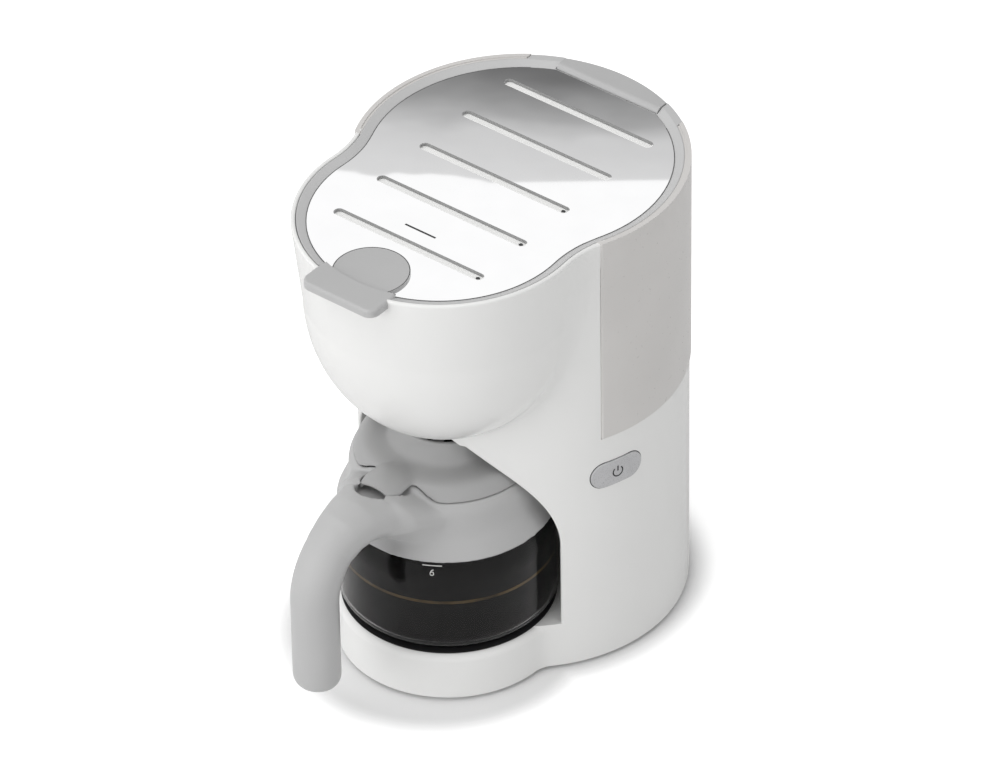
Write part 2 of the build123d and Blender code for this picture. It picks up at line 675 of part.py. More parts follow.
with BuildPart() as thermal_fuse:
    with BuildSketch(Plane.XZ.offset(-(HEAD_Y + 24))):
        with Locations((-HEATER_R - 1, HEATER_LOW - 2.4)):
            Circle(2.4)
    extrude(amount=13.0)
save(thermal_fuse, "thermal_fuse")


def hose(path, outer_r, bore_r):
    """Round hose along a path of points with rounded bends."""
    with BuildPart() as tube:
        with BuildLine() as run:
            FilletPolyline(*path, radius=10.0)
        with BuildSketch(Plane(origin=run.line @ 0, z_dir=run.line % 0)):
            Circle(outer_r)
            Circle(bore_r, mode=Mode.SUBTRACT)
        sweep()
    return tube.part


# water way from the tank through the valve and heater up to the spray head
VALVE_LOW = 84.0
VALVE_TOP = 104.0
HOSE_OVER = 7.0
with BuildPart() as inlet_hose:
    hose_ring = ring(-PIPE_X, PIPE_Y, VALVE_TOP, HOSE_R, HOSE_BORE_R)
    extrude(hose_ring, amount=SPLIT_Z - 12 + HOSE_OVER - VALVE_TOP)
save(inlet_hose, "inlet_hose")

with BuildPart() as check_valve:
    extrude(disc(-PIPE_X, PIPE_Y, VALVE_LOW, 8.0), amount=VALVE_TOP - VALVE_LOW)
    nipple_length = VALVE_TOP - VALVE_LOW + 2 * HOSE_OVER
    extrude(disc(-PIPE_X, PIPE_Y, VALVE_LOW - HOSE_OVER, NIPPLE_R), amount=nipple_length)
    extrude(disc(-PIPE_X, PIPE_Y, VALVE_LOW - 20, PIPE_BORE_R), amount=60.0, mode=Mode.SUBTRACT)
save(check_valve, "check_valve")

with BuildPart() as heater_hose:
    add(
        hose(
            [
                (-PIPE_X, PIPE_Y, VALVE_LOW),
                (-PIPE_X, PIPE_Y, HEATER_Z),
                (-HEATER_X, PIPE_Y, HEATER_Z),
                (-HEATER_X, PIPE_END_Y - HOSE_OVER, HEATER_Z),
            ],
            HOSE_R,
            HOSE_BORE_R,
        )
    )
save(heater_hose, "heater_hose")

SPOUT_Z = 263.4
with BuildPart() as riser_pipe:
    add(
        hose(
            [
                (HEATER_X, PIPE_END_Y - HOSE_OVER, HEATER_Z),
                (HEATER_X, PIPE_Y, HEATER_Z),
                (PIPE_X, PIPE_Y, HEATER_Z),
                (PIPE_X, PIPE_Y, SPOUT_Z),
                (24.0, COLUMN_Y - 20.0, SPOUT_Z),
            ],
            HOSE_R,
            HOSE_BORE_R,
        )
    )
save(riser_pipe, "riser_pipe")

with BuildPart() as riser_grommet:
    extrude(ring(PIPE_X, PIPE_Y, SPLIT_Z - 1.5, 7.0, HOSE_R), amount=5.0)
    extrude(ring(PIPE_X, PIPE_Y, TANK_FLOOR, 9.0, HOSE_R), amount=1.6)
save(riser_grommet, "riser_grommet")

# power switch behind the button
SWITCH_OUT = COLUMN_R - 9.0
with BuildPart() as power_switch:
    with BuildSketch(button_plane(SWITCH_OUT - 12.0)):
        Rectangle(18, 24)
    extrude(amount=12.0)
    with BuildSketch(button_plane(SWITCH_OUT)):
        for side in (-1, 1):
            with Locations((0, side * 10.6)):
                Rectangle(18, 2.4)
    extrude(amount=COLUMN_R - WALL - 0.6 - SWITCH_OUT)
save(power_switch, "power_switch")

with BuildPart() as power_button:
    extrude(button_face(SWITCH_OUT + 3.2, 0), amount=12.0)
    beyond = ring(0, COLUMN_Y, BUTTON_Z - 20, 130, COLUMN_R + BUTTON_OUT)
    extrude(beyond, amount=40.0, mode=Mode.SUBTRACT)
    button_front = power_button.faces().filter_by(GeomType.CYLINDER).sort_by(SortBy.RADIUS)[-1]
    fillet(button_front.edges(), 0.5)
save(power_button, "power_button")

# open bush for the mains lead at the rear
with BuildPart() as cord_gland:
    with BuildSketch(Plane.XZ.offset(-(COLUMN_Y + COLUMN_R - 0.1))):
        with Locations((0, GLAND_Z)):
            Circle(GLAND_R)
            Circle(4.0, mode=Mode.SUBTRACT)
    extrude(amount=8.0)
    with BuildSketch(Plane.XZ.offset(-(COLUMN_Y + COLUMN_R - WALL - 0.7))):
        with Locations((0, GLAND_Z)):
            Circle(GLAND_R + 2.5)
            Circle(4.0, mode=Mode.SUBTRACT)
    extrude(amount=2.0)
save(cord_gland, "cord_gland")

# carafe glass: straight jug with a rounded foot and a drawn-in shoulder
GLASS_TOP = 113.0
GLASS_FOOT_R = 9.0


def glass_face(inset):
    """Profile of the jug, moved inwards by inset."""
    foot_x = GLASS_R - GLASS_FOOT_R
    foot_z = GLASS_BOTTOM + GLASS_FOOT_R
    bend = GLASS_FOOT_R - inset
    shoulder = [(GLASS_R - inset, 78.0), (56.3 - inset, 93.4), (46.5 - inset, GLASS_TOP)]
    with BuildSketch(HEAD_PLANE) as profile:
        with BuildLine():
            Line((0, GLASS_BOTTOM + inset), (foot_x, GLASS_BOTTOM + inset))
            ThreePointArc(
                (foot_x, GLASS_BOTTOM + inset),
                (foot_x + bend * sin(radians(45)), foot_z - bend * cos(radians(45))),
                (foot_x + bend, foot_z),
            )
            Line((foot_x + bend, foot_z), shoulder[0])
            Spline(*shoulder, tangents=[(0, 1), (-0.4, 1)])
            Polyline(shoulder[-1], (0, GLASS_TOP), (0, GLASS_BOTTOM + inset))
        make_face()
    return profile.sketch


with BuildPart() as carafe_glass:
    revolve(glass_face(0), axis=HEAD_AXIS)
    revolve(glass_face(GLASS_T), axis=HEAD_AXIS, mode=Mode.SUBTRACT)
save(carafe_glass, "carafe_glass")

# cone over the jug, shared by the collar and the lid
CAP_T = 2.4
CAP_POINTS = [
    (COLLAR_R, COLLAR_LOW),
    (53.2, 106.6),
    (45.4, PARTING_Z),
    (42.4, 128.4),
    (39.0, 131.6),
    (33.0, 133.4),
    (28.6, 135.0),
    (26.4, 138.5),
    (CHIMNEY_R, CHIMNEY_TOP),
]


def cap_face(inset, base_z, top_z):
    """Profile of the cone and chimney, moved inwards by inset."""
    curve = [(r - inset, z - inset * 0.4) for r, z in CAP_POINTS]
    return turned_smooth(
        [(0, base_z), (curve[0][0], base_z)], curve, [(curve[-1][0], top_z), (0, top_z)]
    )


WAVE_TOP_HALF = 9.0
WAVE_FOOT_HALF = 27.0


def parting_space(grow):
    """Space of the collar below the parting line, which waves up over the handle root."""
    low = PARTING_Z + grow
    high = ROOT_LOBE_TOP + grow
    with BuildPart() as space:
        extrude(disc(0, HEAD_Y, COLLAR_LOW - 10, 80), amount=low - COLLAR_LOW + 10)
        with BuildSketch(Plane.XZ.offset(-HEAD_Y)):
            with BuildLine():
                for side in (-1, 1):
                    foot = (side * WAVE_FOOT_HALF, low)
                    top = (side * WAVE_TOP_HALF, high)
                    Spline(foot, top, tangents=[(-side, 0), (-side, 0)])
                Line((-WAVE_TOP_HALF, high), (WAVE_TOP_HALF, high))
                foot_half = WAVE_FOOT_HALF
                Polyline((-foot_half, low), (-foot_half, low - 5), (foot_half, low - 5), (foot_half, low))
            make_face()
        extrude(amount=80.0)
    return space.part


def hood(inset, floor_z):
    """Long round bulge of the lid over the thumb dish, moved inwards by inset and cut flat below."""
    with BuildPart() as bulge:
        with BuildSketch(Plane.YZ):
            with BuildLine():
                EllipticalCenterArc((HOOD_Y, HOOD_Z), HOOD_LENGTH - inset, HOOD_R - inset, arc_size=180)
                Line((HOOD_Y - HOOD_LENGTH + inset, HOOD_Z), (HOOD_Y + HOOD_LENGTH - inset, HOOD_Z))
            make_face()
        revolve(axis=Axis((0, HOOD_Y, HOOD_Z), (0, 1, 0)))
        extrude(block((-60, 60), (HOOD_Y - 60, HOOD_Y + 60), floor_z - 60), amount=60.0, mode=Mode.SUBTRACT)
    return bulge.part


HOOD_FLOOR = ROOT_LOBE_TOP + 0.4

with BuildPart() as carafe_collar:
    revolve(cap_face(0, COLLAR_LOW, CHIMNEY_TOP), axis=HEAD_AXIS)
    revolve(cap_face(CAP_T, COLLAR_LOW - 1, CHIMNEY_TOP + 1), axis=HEAD_AXIS, mode=Mode.SUBTRACT)
    add(parting_space(0), mode=Mode.INTERSECT)
save(carafe_collar, "carafe_collar")

with BuildPart() as carafe_lid:
    revolve(cap_face(0, COLLAR_LOW, CHIMNEY_TOP), axis=HEAD_AXIS)
    revolve(cap_face(CAP_T, COLLAR_LOW - 1, CHIMNEY_TOP + 1), axis=HEAD_AXIS, mode=Mode.SUBTRACT)
    add(hood(0, HOOD_FLOOR))
    add(hood(HOOD_T, HOOD_FLOOR - 1), mode=Mode.SUBTRACT)
    hood_front = block((-40, 40), (HEAD_Y - 100, HEAD_Y - HOOD_MOUTH_REACH), HOOD_FLOOR - 1)
    extrude(hood_front, amount=40.0, mode=Mode.SUBTRACT)
    revolve(cap_face(CAP_T, COLLAR_LOW - 1, CHIMNEY_TOP + 1), axis=HEAD_AXIS, mode=Mode.SUBTRACT)
    add(parting_space(0.4), mode=Mode.SUBTRACT)
    revolve(turned([(0, 138.0), (25.0, 138.0), (25.0, 140.4), (0, 140.4)]), axis=HEAD_AXIS)
    extrude(disc(0, HEAD_Y, 140.0, 4.0), amount=CHIMNEY_TOP - 140.0)
    with BuildSketch(Plane.XY.offset(137.0)):
        with Locations((0, HEAD_Y)):
            with PolarLocations(13.0, 8):
                Circle(2.6)
    extrude(amount=4.5, mode=Mode.SUBTRACT)
save(carafe_lid, "carafe_lid")

with BuildPart() as carafe_seal:
    extrude(ring(0, HEAD_Y, GLASS_TOP, 46.3, 43.5), amount=1.2)
save(carafe_seal, "carafe_seal")

# hook handle: an oval that leaves the collar, bends over and runs straight down
BEND_X = GRIP_REACH - BEND_R
BEND_START_X = BEND_X - BEND_R * sin(radians(ROOT_RISE))
BEND_START_Z = ROOT_Z + (BEND_START_X - ROOT_REACH) * tan(radians(ROOT_RISE))
BEND_Z = BEND_START_Z - BEND_R * cos(radians(ROOT_RISE))
BEND_MID = (BEND_X + BEND_R * cos(radians(60)), BEND_Z + BEND_R * sin(radians(60)))


def oval(place, half_width, half_depth):
    """Oval face on a plane."""
    with BuildSketch(place) as face:
        Ellipse(half_width, half_depth)
    return face.sketch


def root_flare(share):
    """Cross-section of the handle where it widens towards the collar."""
    swell = ROOT_FLARE * (1 - share / ROOT_FLARE_END) ** 2
    lift = Vector(0, sin(radians(ROOT_RISE)), cos(radians(ROOT_RISE))) * swell * ROOT_LIFT
    place = Plane(origin=handle_way @ share + lift, x_dir=(1, 0, 0), z_dir=handle_way % share)
    return oval(place, GRIP_HALF_WIDTH + swell, GRIP_HALF_DEPTH + swell * ROOT_LIFT)


def grip_end(angle):
    """Cross-section of the rounded lower end of the grip."""
    shrink = GRIP_ROUND * (1 - cos(radians(angle)))
    height = GRIP_BOTTOM + GRIP_ROUND * (1 - sin(radians(angle)))
    place = Plane(origin=(0, HEAD_Y - GRIP_REACH, height), x_dir=(1, 0, 0), z_dir=(0, 0, -1))
    return oval(place, GRIP_HALF_WIDTH - shrink, GRIP_HALF_DEPTH - shrink)


with BuildLine(HEAD_PLANE) as handle_line:
    Line((ROOT_REACH, ROOT_Z), (BEND_START_X, BEND_START_Z))
    ThreePointArc((BEND_START_X, BEND_START_Z), BEND_MID, (GRIP_REACH, BEND_Z))
    Line((GRIP_REACH, BEND_Z), (GRIP_REACH, GRIP_BOTTOM + GRIP_ROUND))

handle_way = handle_line.wire()
FLARE_STEPS = 7
with BuildPart() as carafe_handle:
    root_plane = Plane(origin=handle_way @ 0, x_dir=(1, 0, 0), z_dir=handle_way % 0)
    sweep(oval(root_plane, GRIP_HALF_WIDTH, GRIP_HALF_DEPTH), path=handle_way)
    loft([root_flare(ROOT_FLARE_END * step / FLARE_STEPS) for step in range(FLARE_STEPS)], ruled=True)
    loft([grip_end(angle) for angle in (0, 20, 40, 60, 78, 90)], ruled=True)
    revolve(cap_face(0, COLLAR_LOW - 12, CHIMNEY_TOP), axis=HEAD_AXIS, mode=Mode.SUBTRACT)
    extrude(disc(0, HEAD_Y - DISH_REACH, DISH_Z, DISH_R), amount=40.0, mode=Mode.SUBTRACT)
    add(hood(-0.5, DISH_Z), mode=Mode.SUBTRACT)
save(carafe_handle, "carafe_handle")
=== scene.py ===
import json
from math import asin, atan2, cos, pi, radians, sin, sqrt

import bmesh
import bpy
from mathutils import Matrix, Vector

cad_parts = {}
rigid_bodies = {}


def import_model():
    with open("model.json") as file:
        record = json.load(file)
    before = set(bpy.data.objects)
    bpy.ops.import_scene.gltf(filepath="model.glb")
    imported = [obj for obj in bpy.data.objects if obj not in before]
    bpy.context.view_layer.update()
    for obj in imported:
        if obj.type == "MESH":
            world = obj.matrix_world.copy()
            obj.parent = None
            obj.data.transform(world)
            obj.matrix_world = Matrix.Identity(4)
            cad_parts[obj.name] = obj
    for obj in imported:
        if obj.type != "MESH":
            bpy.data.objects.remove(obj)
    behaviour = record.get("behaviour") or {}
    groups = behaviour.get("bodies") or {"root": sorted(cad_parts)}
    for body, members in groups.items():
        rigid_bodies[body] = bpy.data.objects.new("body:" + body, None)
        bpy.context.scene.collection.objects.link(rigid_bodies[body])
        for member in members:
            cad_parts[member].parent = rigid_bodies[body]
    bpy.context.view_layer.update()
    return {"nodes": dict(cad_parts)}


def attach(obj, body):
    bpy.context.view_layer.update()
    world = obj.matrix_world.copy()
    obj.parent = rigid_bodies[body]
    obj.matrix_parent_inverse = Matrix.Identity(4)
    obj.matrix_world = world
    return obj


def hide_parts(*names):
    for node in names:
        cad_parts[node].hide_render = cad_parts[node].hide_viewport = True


for leftover in list(bpy.data.objects):
    bpy.data.objects.remove(leftover)
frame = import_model()
nodes = frame["nodes"]

MM = 0.001

# body: round column at the back and round brew head in front, millimetres, front towards -Y
COLUMN_Y = 50.65
COLUMN_R = 89.0
HEAD_Y = -15.85
HEAD_R = 78.5
HEAD_OFFSET = COLUMN_Y - HEAD_Y
FOOT_R = 75.0
WALL = 2.8
BODY_TOP = 279.0
SHELL_BOTTOM = 160.0
PANEL_Y = 13.65

# bowl under the brew head and hollow waist beside it
KNEE_R = 73.6
BOWL_KNEE = 231.0
BOWL_BOTTOM = 149.4
BOWL_TIP_R = 2.0
WAIST_R = 58.0
WAIST_LOW_R = 4.0
WAIST_BOTTOM = 150.0
WAIST_CURVE = 1.5

# rolled rim, and the notch in it under the lid grip, placed by its share of the half outline
LIP = 2.5
LIP_BOTTOM = 269.5
RIM_OUTER = 1.5
RIM_INNER = 0.7
RIM_TOP = BODY_TOP - 0.005
NOTCH_SHARE = 0.847
NOTCH_EDGE = 0.0004
NOTCH_CLEAR = 0.005
NOTCH_TOP = 273.9
NOTCH_START = 262.0

# ledge inside the bowl, over an angle in degrees
LEDGE_INNER = 61.5
LEDGE_OUTER = 73.0
LEDGE_LOW = 248.0
LEDGE_HIGH = 251.9
LEDGE_START = -195.0
LEDGE_END = 15.0

# lid with its ring, lugs and steel plate
PLATE_TOP = 276.5
RING_BASE = 275.1
RING_FADE = 0.2
LUG_Y = COLUMN_Y + 71.0
LUG_FADE = 1.0

# camera of the photograph
IMAGE_WIDTH = 984
FOCAL_PIXELS = 8000
SENSOR = 36.0
CLIP_END = 50.0
VIEW_AZIMUTH = 38.68
VIEW_ELEVATION = 38.14
VIEW_ROLL = -0.94
VIEW_DISTANCE = 4268.4
VIEW_POINT = (0.0, COLUMN_Y, 150.0)
VIEW_SHIFT = (16.46, 20.91)


def camera_axes():
    """Side, top and forward directions of the camera and its position in millimetres."""
    azimuth = radians(VIEW_AZIMUTH)
    elevation = radians(VIEW_ELEVATION)
    roll = radians(VIEW_ROLL)
    forward = Vector((-sin(azimuth) * cos(elevation), cos(azimuth) * cos(elevation), -sin(elevation)))
    level = Vector((cos(azimuth), sin(azimuth), 0.0))
    upright = level.cross(forward)
    side = cos(roll) * level + sin(roll) * upright
    top = cos(roll) * upright - sin(roll) * level
    aim = Vector(VIEW_POINT) - side * VIEW_SHIFT[0] - top * VIEW_SHIFT[1]
    return side, top, forward, aim - forward * VIEW_DISTANCE


def add_camera():
    """Camera at the photograph's viewing angle, far away with a long lens."""
    side, top, forward, place = camera_axes()
    data = bpy.data.cameras.new("camera")
    data.sensor_width = SENSOR
    data.lens = SENSOR * FOCAL_PIXELS / IMAGE_WIDTH
    data.clip_end = CLIP_END
    camera = bpy.data.objects.new("camera", data)
    axes = Matrix((side, top, -forward)).transposed()
    camera.matrix_world = Matrix.Translation(place * MM) @ axes.to_4x4()
    bpy.context.scene.collection.objects.link(camera)
    bpy.context.scene.camera = camera


# range that most noise values stay in, and share by which gloss drifts with the grain
NOISE_LOW = 0.3
NOISE_HIGH = 0.7
GLOSS_DRIFT = 0.15
COARSE = 2.0
FINE = 3.0
EVEN = (1, 1, 1)
BRUSHED = (1, 8, 1)


def new_material(name):
    """Node material, its tree and its shader."""
    material = bpy.data.materials.new(name)
    material.use_nodes = True
    return material, material.node_tree, material.node_tree.nodes["Principled BSDF"]


def coordinate(tree, kind):
    """Place on a piece, of the kind Object in its own metres or UV across its face."""
    return tree.nodes.new("ShaderNodeTexCoord").outputs[kind]


def separated(tree, vector):
    """X, Y and Z of a place."""
    split = tree.nodes.new("ShaderNodeSeparateXYZ")
    tree.links.new(vector, split.inputs["Vector"])
    return split.outputs


def combined(tree, operation, *values):
    """Result of a calculation on values, each a number or an output."""
    step = tree.nodes.new("ShaderNodeMath")
    step.operation = operation
    for socket, value in zip(step.inputs, values):
        if isinstance(value, float):
            socket.default_value = value
        else:
            tree.links.new(value, socket)
    return step.outputs[0]


def remapped(tree, source, start, end, low=0.0, high=1.0, curve="LINEAR"):
    """Value that runs from low to high while the source runs from start to end."""
    remap = tree.nodes.new("ShaderNodeMapRange")
    remap.interpolation_type = curve
    for socket, value in (("From Min", start), ("From Max", end), ("To Min", low), ("To Max", high)):
        remap.inputs[socket].default_value = value
    tree.links.new(source, remap.inputs["Value"])
    return remap.outputs["Result"]


def noise(tree, scale, detail=COARSE, stretch=EVEN):
    """Noise over the object's own coordinates, scale in features per metre."""
    mapping = tree.nodes.new("ShaderNodeMapping")
    mapping.inputs["Scale"].default_value = stretch
    texture = tree.nodes.new("ShaderNodeTexNoise")
    texture.inputs["Scale"].default_value = scale
    texture.inputs["Detail"].default_value = detail
    tree.links.new(coordinate(tree, "Object"), mapping.inputs["Vector"])
    tree.links.new(mapping.outputs["Vector"], texture.inputs["Vector"])
    return texture.outputs["Fac"]


def tinted(tree, drift, dark, light):
    """Colour that runs from dark to light with a noise."""
    mix = tree.nodes.new("ShaderNodeMix")
    mix.data_type = "RGBA"
    mix.inputs["A"].default_value = (*dark, 1.0)
    mix.inputs["B"].default_value = (*light, 1.0)
    tree.links.new(remapped(tree, drift, NOISE_LOW, NOISE_HIGH), mix.inputs["Factor"])
    return mix.outputs["Result"]


def shaded(colour, factor):
    """Colour made lighter or darker."""
    return tuple(min(channel * factor, 1.0) for channel in colour)


def mottled(tree, drift, colour, mottle):
    """Colour that drifts by a share to both sides."""
    return tinted(tree, drift, shaded(colour, 1 - mottle), shaded(colour, 1 + mottle))


def uneven_gloss(tree, shader, roughness, grain, relief, stretch=EVEN):
    """Roughness that drifts with a fine grain, and relief of that grain with a height in metres."""
    fine = noise(tree, grain, FINE, stretch)
    dull = roughness * (1 + GLOSS_DRIFT)
    glossy = roughness * (1 - GLOSS_DRIFT)
    gloss = remapped(tree, fine, NOISE_LOW, NOISE_HIGH, glossy, dull)
    tree.links.new(gloss, shader.inputs["Roughness"])
    if relief:
        bump = tree.nodes.new("ShaderNodeBump")
        bump.inputs["Strength"].default_value = 1.0
        bump.inputs["Distance"].default_value = relief
        tree.links.new(fine, bump.inputs["Height"])
        tree.links.new(bump.outputs["Normal"], shader.inputs["Normal"])


def surface(name, colour, roughness, mottle, patch, grain, relief, stretch=EVEN, **sockets):
    """Material with a share of colour drift, patches and grains per metre and relief in metres."""
    material, tree, shader = new_material(name)
    tree.links.new(mottled(tree, noise(tree, patch), colour, mottle), shader.inputs["Base Color"])
    uneven_gloss(tree, shader, roughness, grain, relief, stretch)
    for socket, value in sockets.items():
        shader.inputs[socket.replace("_", " ")].default_value = value
    return material


def ring_material(name, lit_floor_colour, ring_colour, roughness, mottle, patch, grain, relief):
    """Grey of the lid ring and its lugs, and on the floor under the slots a white made lighter as painted
    light against their shade.
    """
    material, tree, shader = new_material(name)
    place = separated(tree, coordinate(tree, "Object"))
    on_ring = remapped(tree, place["Z"], RING_BASE * MM, (RING_BASE + RING_FADE) * MM)
    on_lug = remapped(tree, place["Y"], LUG_Y * MM, (LUG_Y + LUG_FADE) * MM)
    drift = noise(tree, patch)
    mix = tree.nodes.new("ShaderNodeMix")
    mix.data_type = "RGBA"
    tree.links.new(combined(tree, "MAXIMUM", on_ring, on_lug), mix.inputs["Factor"])
    for socket, colour in (("A", lit_floor_colour), ("B", ring_colour)):
        tree.links.new(mottled(tree, drift, colour, mottle), mix.inputs[socket])
    tree.links.new(mix.outputs["Result"], shader.inputs["Base Color"])
    uneven_gloss(tree, shader, roughness, grain, relief)
    return material


# plastics
SATIN = {"roughness": 0.36, "mottle": 0.02, "patch": 25.0, "grain": 2600.0, "relief": 4e-6}
WHITE = surface("white_gloss", (0.83, 0.83, 0.82), 0.2, 0.01, 12.0, 220.0, 2e-6)
GREY = surface("grey_satin", (0.47, 0.47, 0.47), **SATIN)
# same grey as the collar and handle, painted darker on the jug's lid as shade from the bowl above
SHADED_CAP_GREY = surface("cap_grey_shaded", (0.39, 0.39, 0.39), **SATIN)
TAB_GREY = surface("tab_grey", (0.46, 0.46, 0.46), **SATIN)
# floor under the slots whiter than the body, painted light against the shade in the slots
RING = ring_material(
    "ring_grey", (0.95, 0.95, 0.94), (0.53, 0.53, 0.53), **{**SATIN, "roughness": 0.34}
)
TANK = surface("tank_milky", (0.65, 0.635, 0.62), 0.32, 0.02, 25.0, 500.0, 1e-6)
FILTER_GREY = surface("filter_grey", (0.2, 0.2, 0.2), 0.45, 0.04, 50.0, 1800.0, 6e-6)
DARK = surface("dark_plastic", (0.03, 0.03, 0.031), 0.45, 0.15, 50.0, 1800.0, 1e-5)
SILICONE = surface("silicone", (0.6, 0.6, 0.57), 0.55, 0.04, 60.0, 1800.0, 6e-6)
RUBBER = surface("black_rubber", (0.02, 0.02, 0.02), 0.7, 0.2, 60.0, 1800.0, 1e-5)

# metals
MIRROR = surface(
    "steel_mirror", (0.975, 0.975, 0.98), 0.025, 0.01, 60.0, 900.0, 0.0, BRUSHED, Metallic=1.0
)
STEEL = surface("steel_plain", (0.6, 0.6, 0.61), 0.25, 0.05, 80.0, 1500.0, 2e-6, BRUSHED, Metallic=1.0)
HOTPLATE = surface("hotplate_black", (0.025, 0.025, 0.026), 0.4, 0.2, 60.0, 2200.0, 8e-6)
CAST = surface("heater_cast", (0.5, 0.5, 0.52), 0.5, 0.12, 90.0, 700.0, 4e-5, Metallic=1.0)
SILVER = surface("button_silver", (0.52, 0.52, 0.53), 0.3, 0.03, 120.0, 2600.0, 2e-6, Metallic=0.35)

# lines, edges and prints
# far edges of the slots, dark as painted shade
SHADED_EDGE = surface("slot_edge_shaded", (0.3, 0.3, 0.3), 0.4, 0.05, 80.0, 1500.0, 2e-6)
# near edges of the slots, pale as painted light
LIT_EDGE = surface("slot_edge_lit", (0.92, 0.92, 0.91), 0.4, 0.01, 80.0, 1500.0, 2e-6)
# painted shade in the joint round the steel plate
JOINT_SHADE = surface("joint_shade", (0.09, 0.09, 0.09), 0.5, 0.3, 40.0, 1500.0, 2e-6)
# dark of the prints, also used for lines of painted shade in the gaps and grooves
INK_AND_SHADE = surface("print_and_shade_dark", (0.015, 0.015, 0.016), 0.4, 0.2, 300.0, 4000.0, 1e-6)
PALE_INK = surface("print_pale", (0.75, 0.75, 0.73), 0.5, 0.05, 300.0, 4000.0, 1e-6)

# jug and coffee
GLASS = surface(
    "carafe_glass", (0.3, 0.29, 0.29), 0.01, 0.01, 20.0, 60.0, 0.0, Transmission_Weight=1.0, IOR=1.28
)
COFFEE = surface("coffee", (0.003, 0.002, 0.002), 0.6, 0.3, 25.0, 40.0, 0.0, Specular_IOR_Level=0.0)
# amber of the glint round the coffee, a painted highlight
PAINTED_GLINT = surface("coffee_glint", (0.6, 0.44, 0.19), 0.5, 0.6, 60.0, 90.0, 0.0, Specular_IOR_Level=0.02)

NODE_MATERIALS = {
    WHITE: ("lower_housing", "upper_housing", "bottom_cover", "spray_head"),
    TANK: ("water_tank",),
    RING: ("lid_frame",),
    TAB_GREY: ("lid_tab", "hinge_block"),
    GREY: ("carafe_collar", "carafe_handle"),
    SHADED_CAP_GREY: ("carafe_lid",),
    MIRROR: ("lid_plate",),
    STEEL: ("cover_screws", "heater_clamp", "thermal_fuse", "lid_pin"),
    HOTPLATE: ("hotplate",),
    CAST: ("heater",),
    SILICONE: (
        "inlet_hose", "heater_hose", "riser_pipe", "riser_grommet", "carafe_seal", "drip_seal"
    ),
    RUBBER: ("rubber_feet", "hotplate_seal"),
    DARK: ("thermostat", "check_valve", "power_switch", "cord_gland"),
    FILTER_GREY: ("filter_holder", "drip_stop"),
    SILVER: ("power_button",),
    GLASS: ("carafe_glass",),
}
for material, names in NODE_MATERIALS.items():
    for name in names:
        nodes[name].data.materials.clear()
        nodes[name].data.materials.append(material)

# angles above which edges stay sharp, degrees, and distance at which corners merge, metres
SHELL_SHARP = 35
TURNED_SHARP = 40
NEVER_SHARP = 180
MERGE = 2e-6


def new_piece(name, mesh_data, material, body):
    """Mesh piece that rides on a CAD body."""
    mesh_data.materials.append(material)
    piece = bpy.data.objects.new(name, mesh_data)
    bpy.context.scene.collection.objects.link(piece)
    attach(piece, body)
    return piece


def smooth_mesh(name, builder, sharp):
    """Mesh data from an edit mesh, smooth below a sharp angle in degrees."""
    mesh_data = bpy.data.meshes.new(name)
    builder.to_mesh(mesh_data)
    builder.free()
    for face in mesh_data.polygons:
        face.use_smooth = True
        face.material_index = 0
    mesh_data.set_sharp_from_angle(angle=radians(sharp))
    return mesh_data


def arc_points(radius, centre, angles):
    """Points on a circle at angles in degrees."""
    turns = [radians(angle) for angle in angles]
    return [(centre[0] + radius * cos(turn), centre[1] + radius * sin(turn)) for turn in turns]


def band(inner, outer, low, high):
    """Outline of a flat ring, as radius and height pairs."""
    return [(inner, low), (outer, low), (outer, high), (inner, high)]


def head_radius(z):
    """Radius of the brew head about its own axis."""
    if z >= BOWL_KNEE:
        return KNEE_R + (HEAD_R - KNEE_R) * (z - BOWL_KNEE) / (BODY_TOP - BOWL_KNEE)
    drop = (BOWL_KNEE - z) / (BOWL_KNEE - BOWL_BOTTOM)
    return BOWL_TIP_R + (KNEE_R - BOWL_TIP_R) * sqrt(1.0 - drop * drop)


def waist_radius(z):
    """Radius of the hollow waist between the column and the brew head."""
    rise = (z - WAIST_BOTTOM) / (BODY_TOP - WAIST_BOTTOM)
    return WAIST_LOW_R + (WAIST_R - WAIST_LOW_R) * rise**WAIST_CURVE


def half_outline(z, inset, shares):
    """Right half of the body outline from the tank to the front, at shares of its length."""
    rear_r = COLUMN_R - inset
    front_r = head_radius(z) - inset
    waist_r = waist_radius(z) + inset
    reach = rear_r + waist_r
    back = (reach**2 - (front_r + waist_r) ** 2 + HEAD_OFFSET**2) / (2 * HEAD_OFFSET)
    waist_x = sqrt(reach**2 - back**2)
    waist_y = COLUMN_Y - back
    rear_start = asin((PANEL_Y - COLUMN_Y) / rear_r)
    rear_end = atan2(-back, waist_x)
    hollow_start = pi + rear_end
    if rear_end > rear_start:
        rear_start = rear_end
        hollow_start = pi - asin((PANEL_Y - waist_y) / waist_r)
    front_start = atan2(waist_y - HEAD_Y, waist_x)
    arcs = (
        (0.0, COLUMN_Y, rear_r, rear_start, rear_end),
        (waist_x, waist_y, waist_r, hollow_start, pi + front_start),
        (0.0, HEAD_Y, front_r, front_start, -pi / 2),
    )
    lengths = [abs(end - start) * radius for _, _, radius, start, end in arcs]
    points = []
    for share in shares:
        along = share * sum(lengths)
        for length, (x, y, radius, start, end) in zip(lengths, arcs):
            if along <= length or radius == front_r:
                break
            along -= length
        angle = start + (end - start) * min(along / max(length, 1e-9), 1.0)
        points.append((x + radius * cos(angle), y + radius * sin(angle)))
    return points


# rows up the shell, closer together towards the bottom, and columns along its half outline
SHELL_STEPS = 56
SHELL_CROWDING = 1.3
INSIDE_STEPS = 24
INSIDE_DROP = 0.1
OUTLINE_STEPS = 90
LEDGE_STEPS = 90


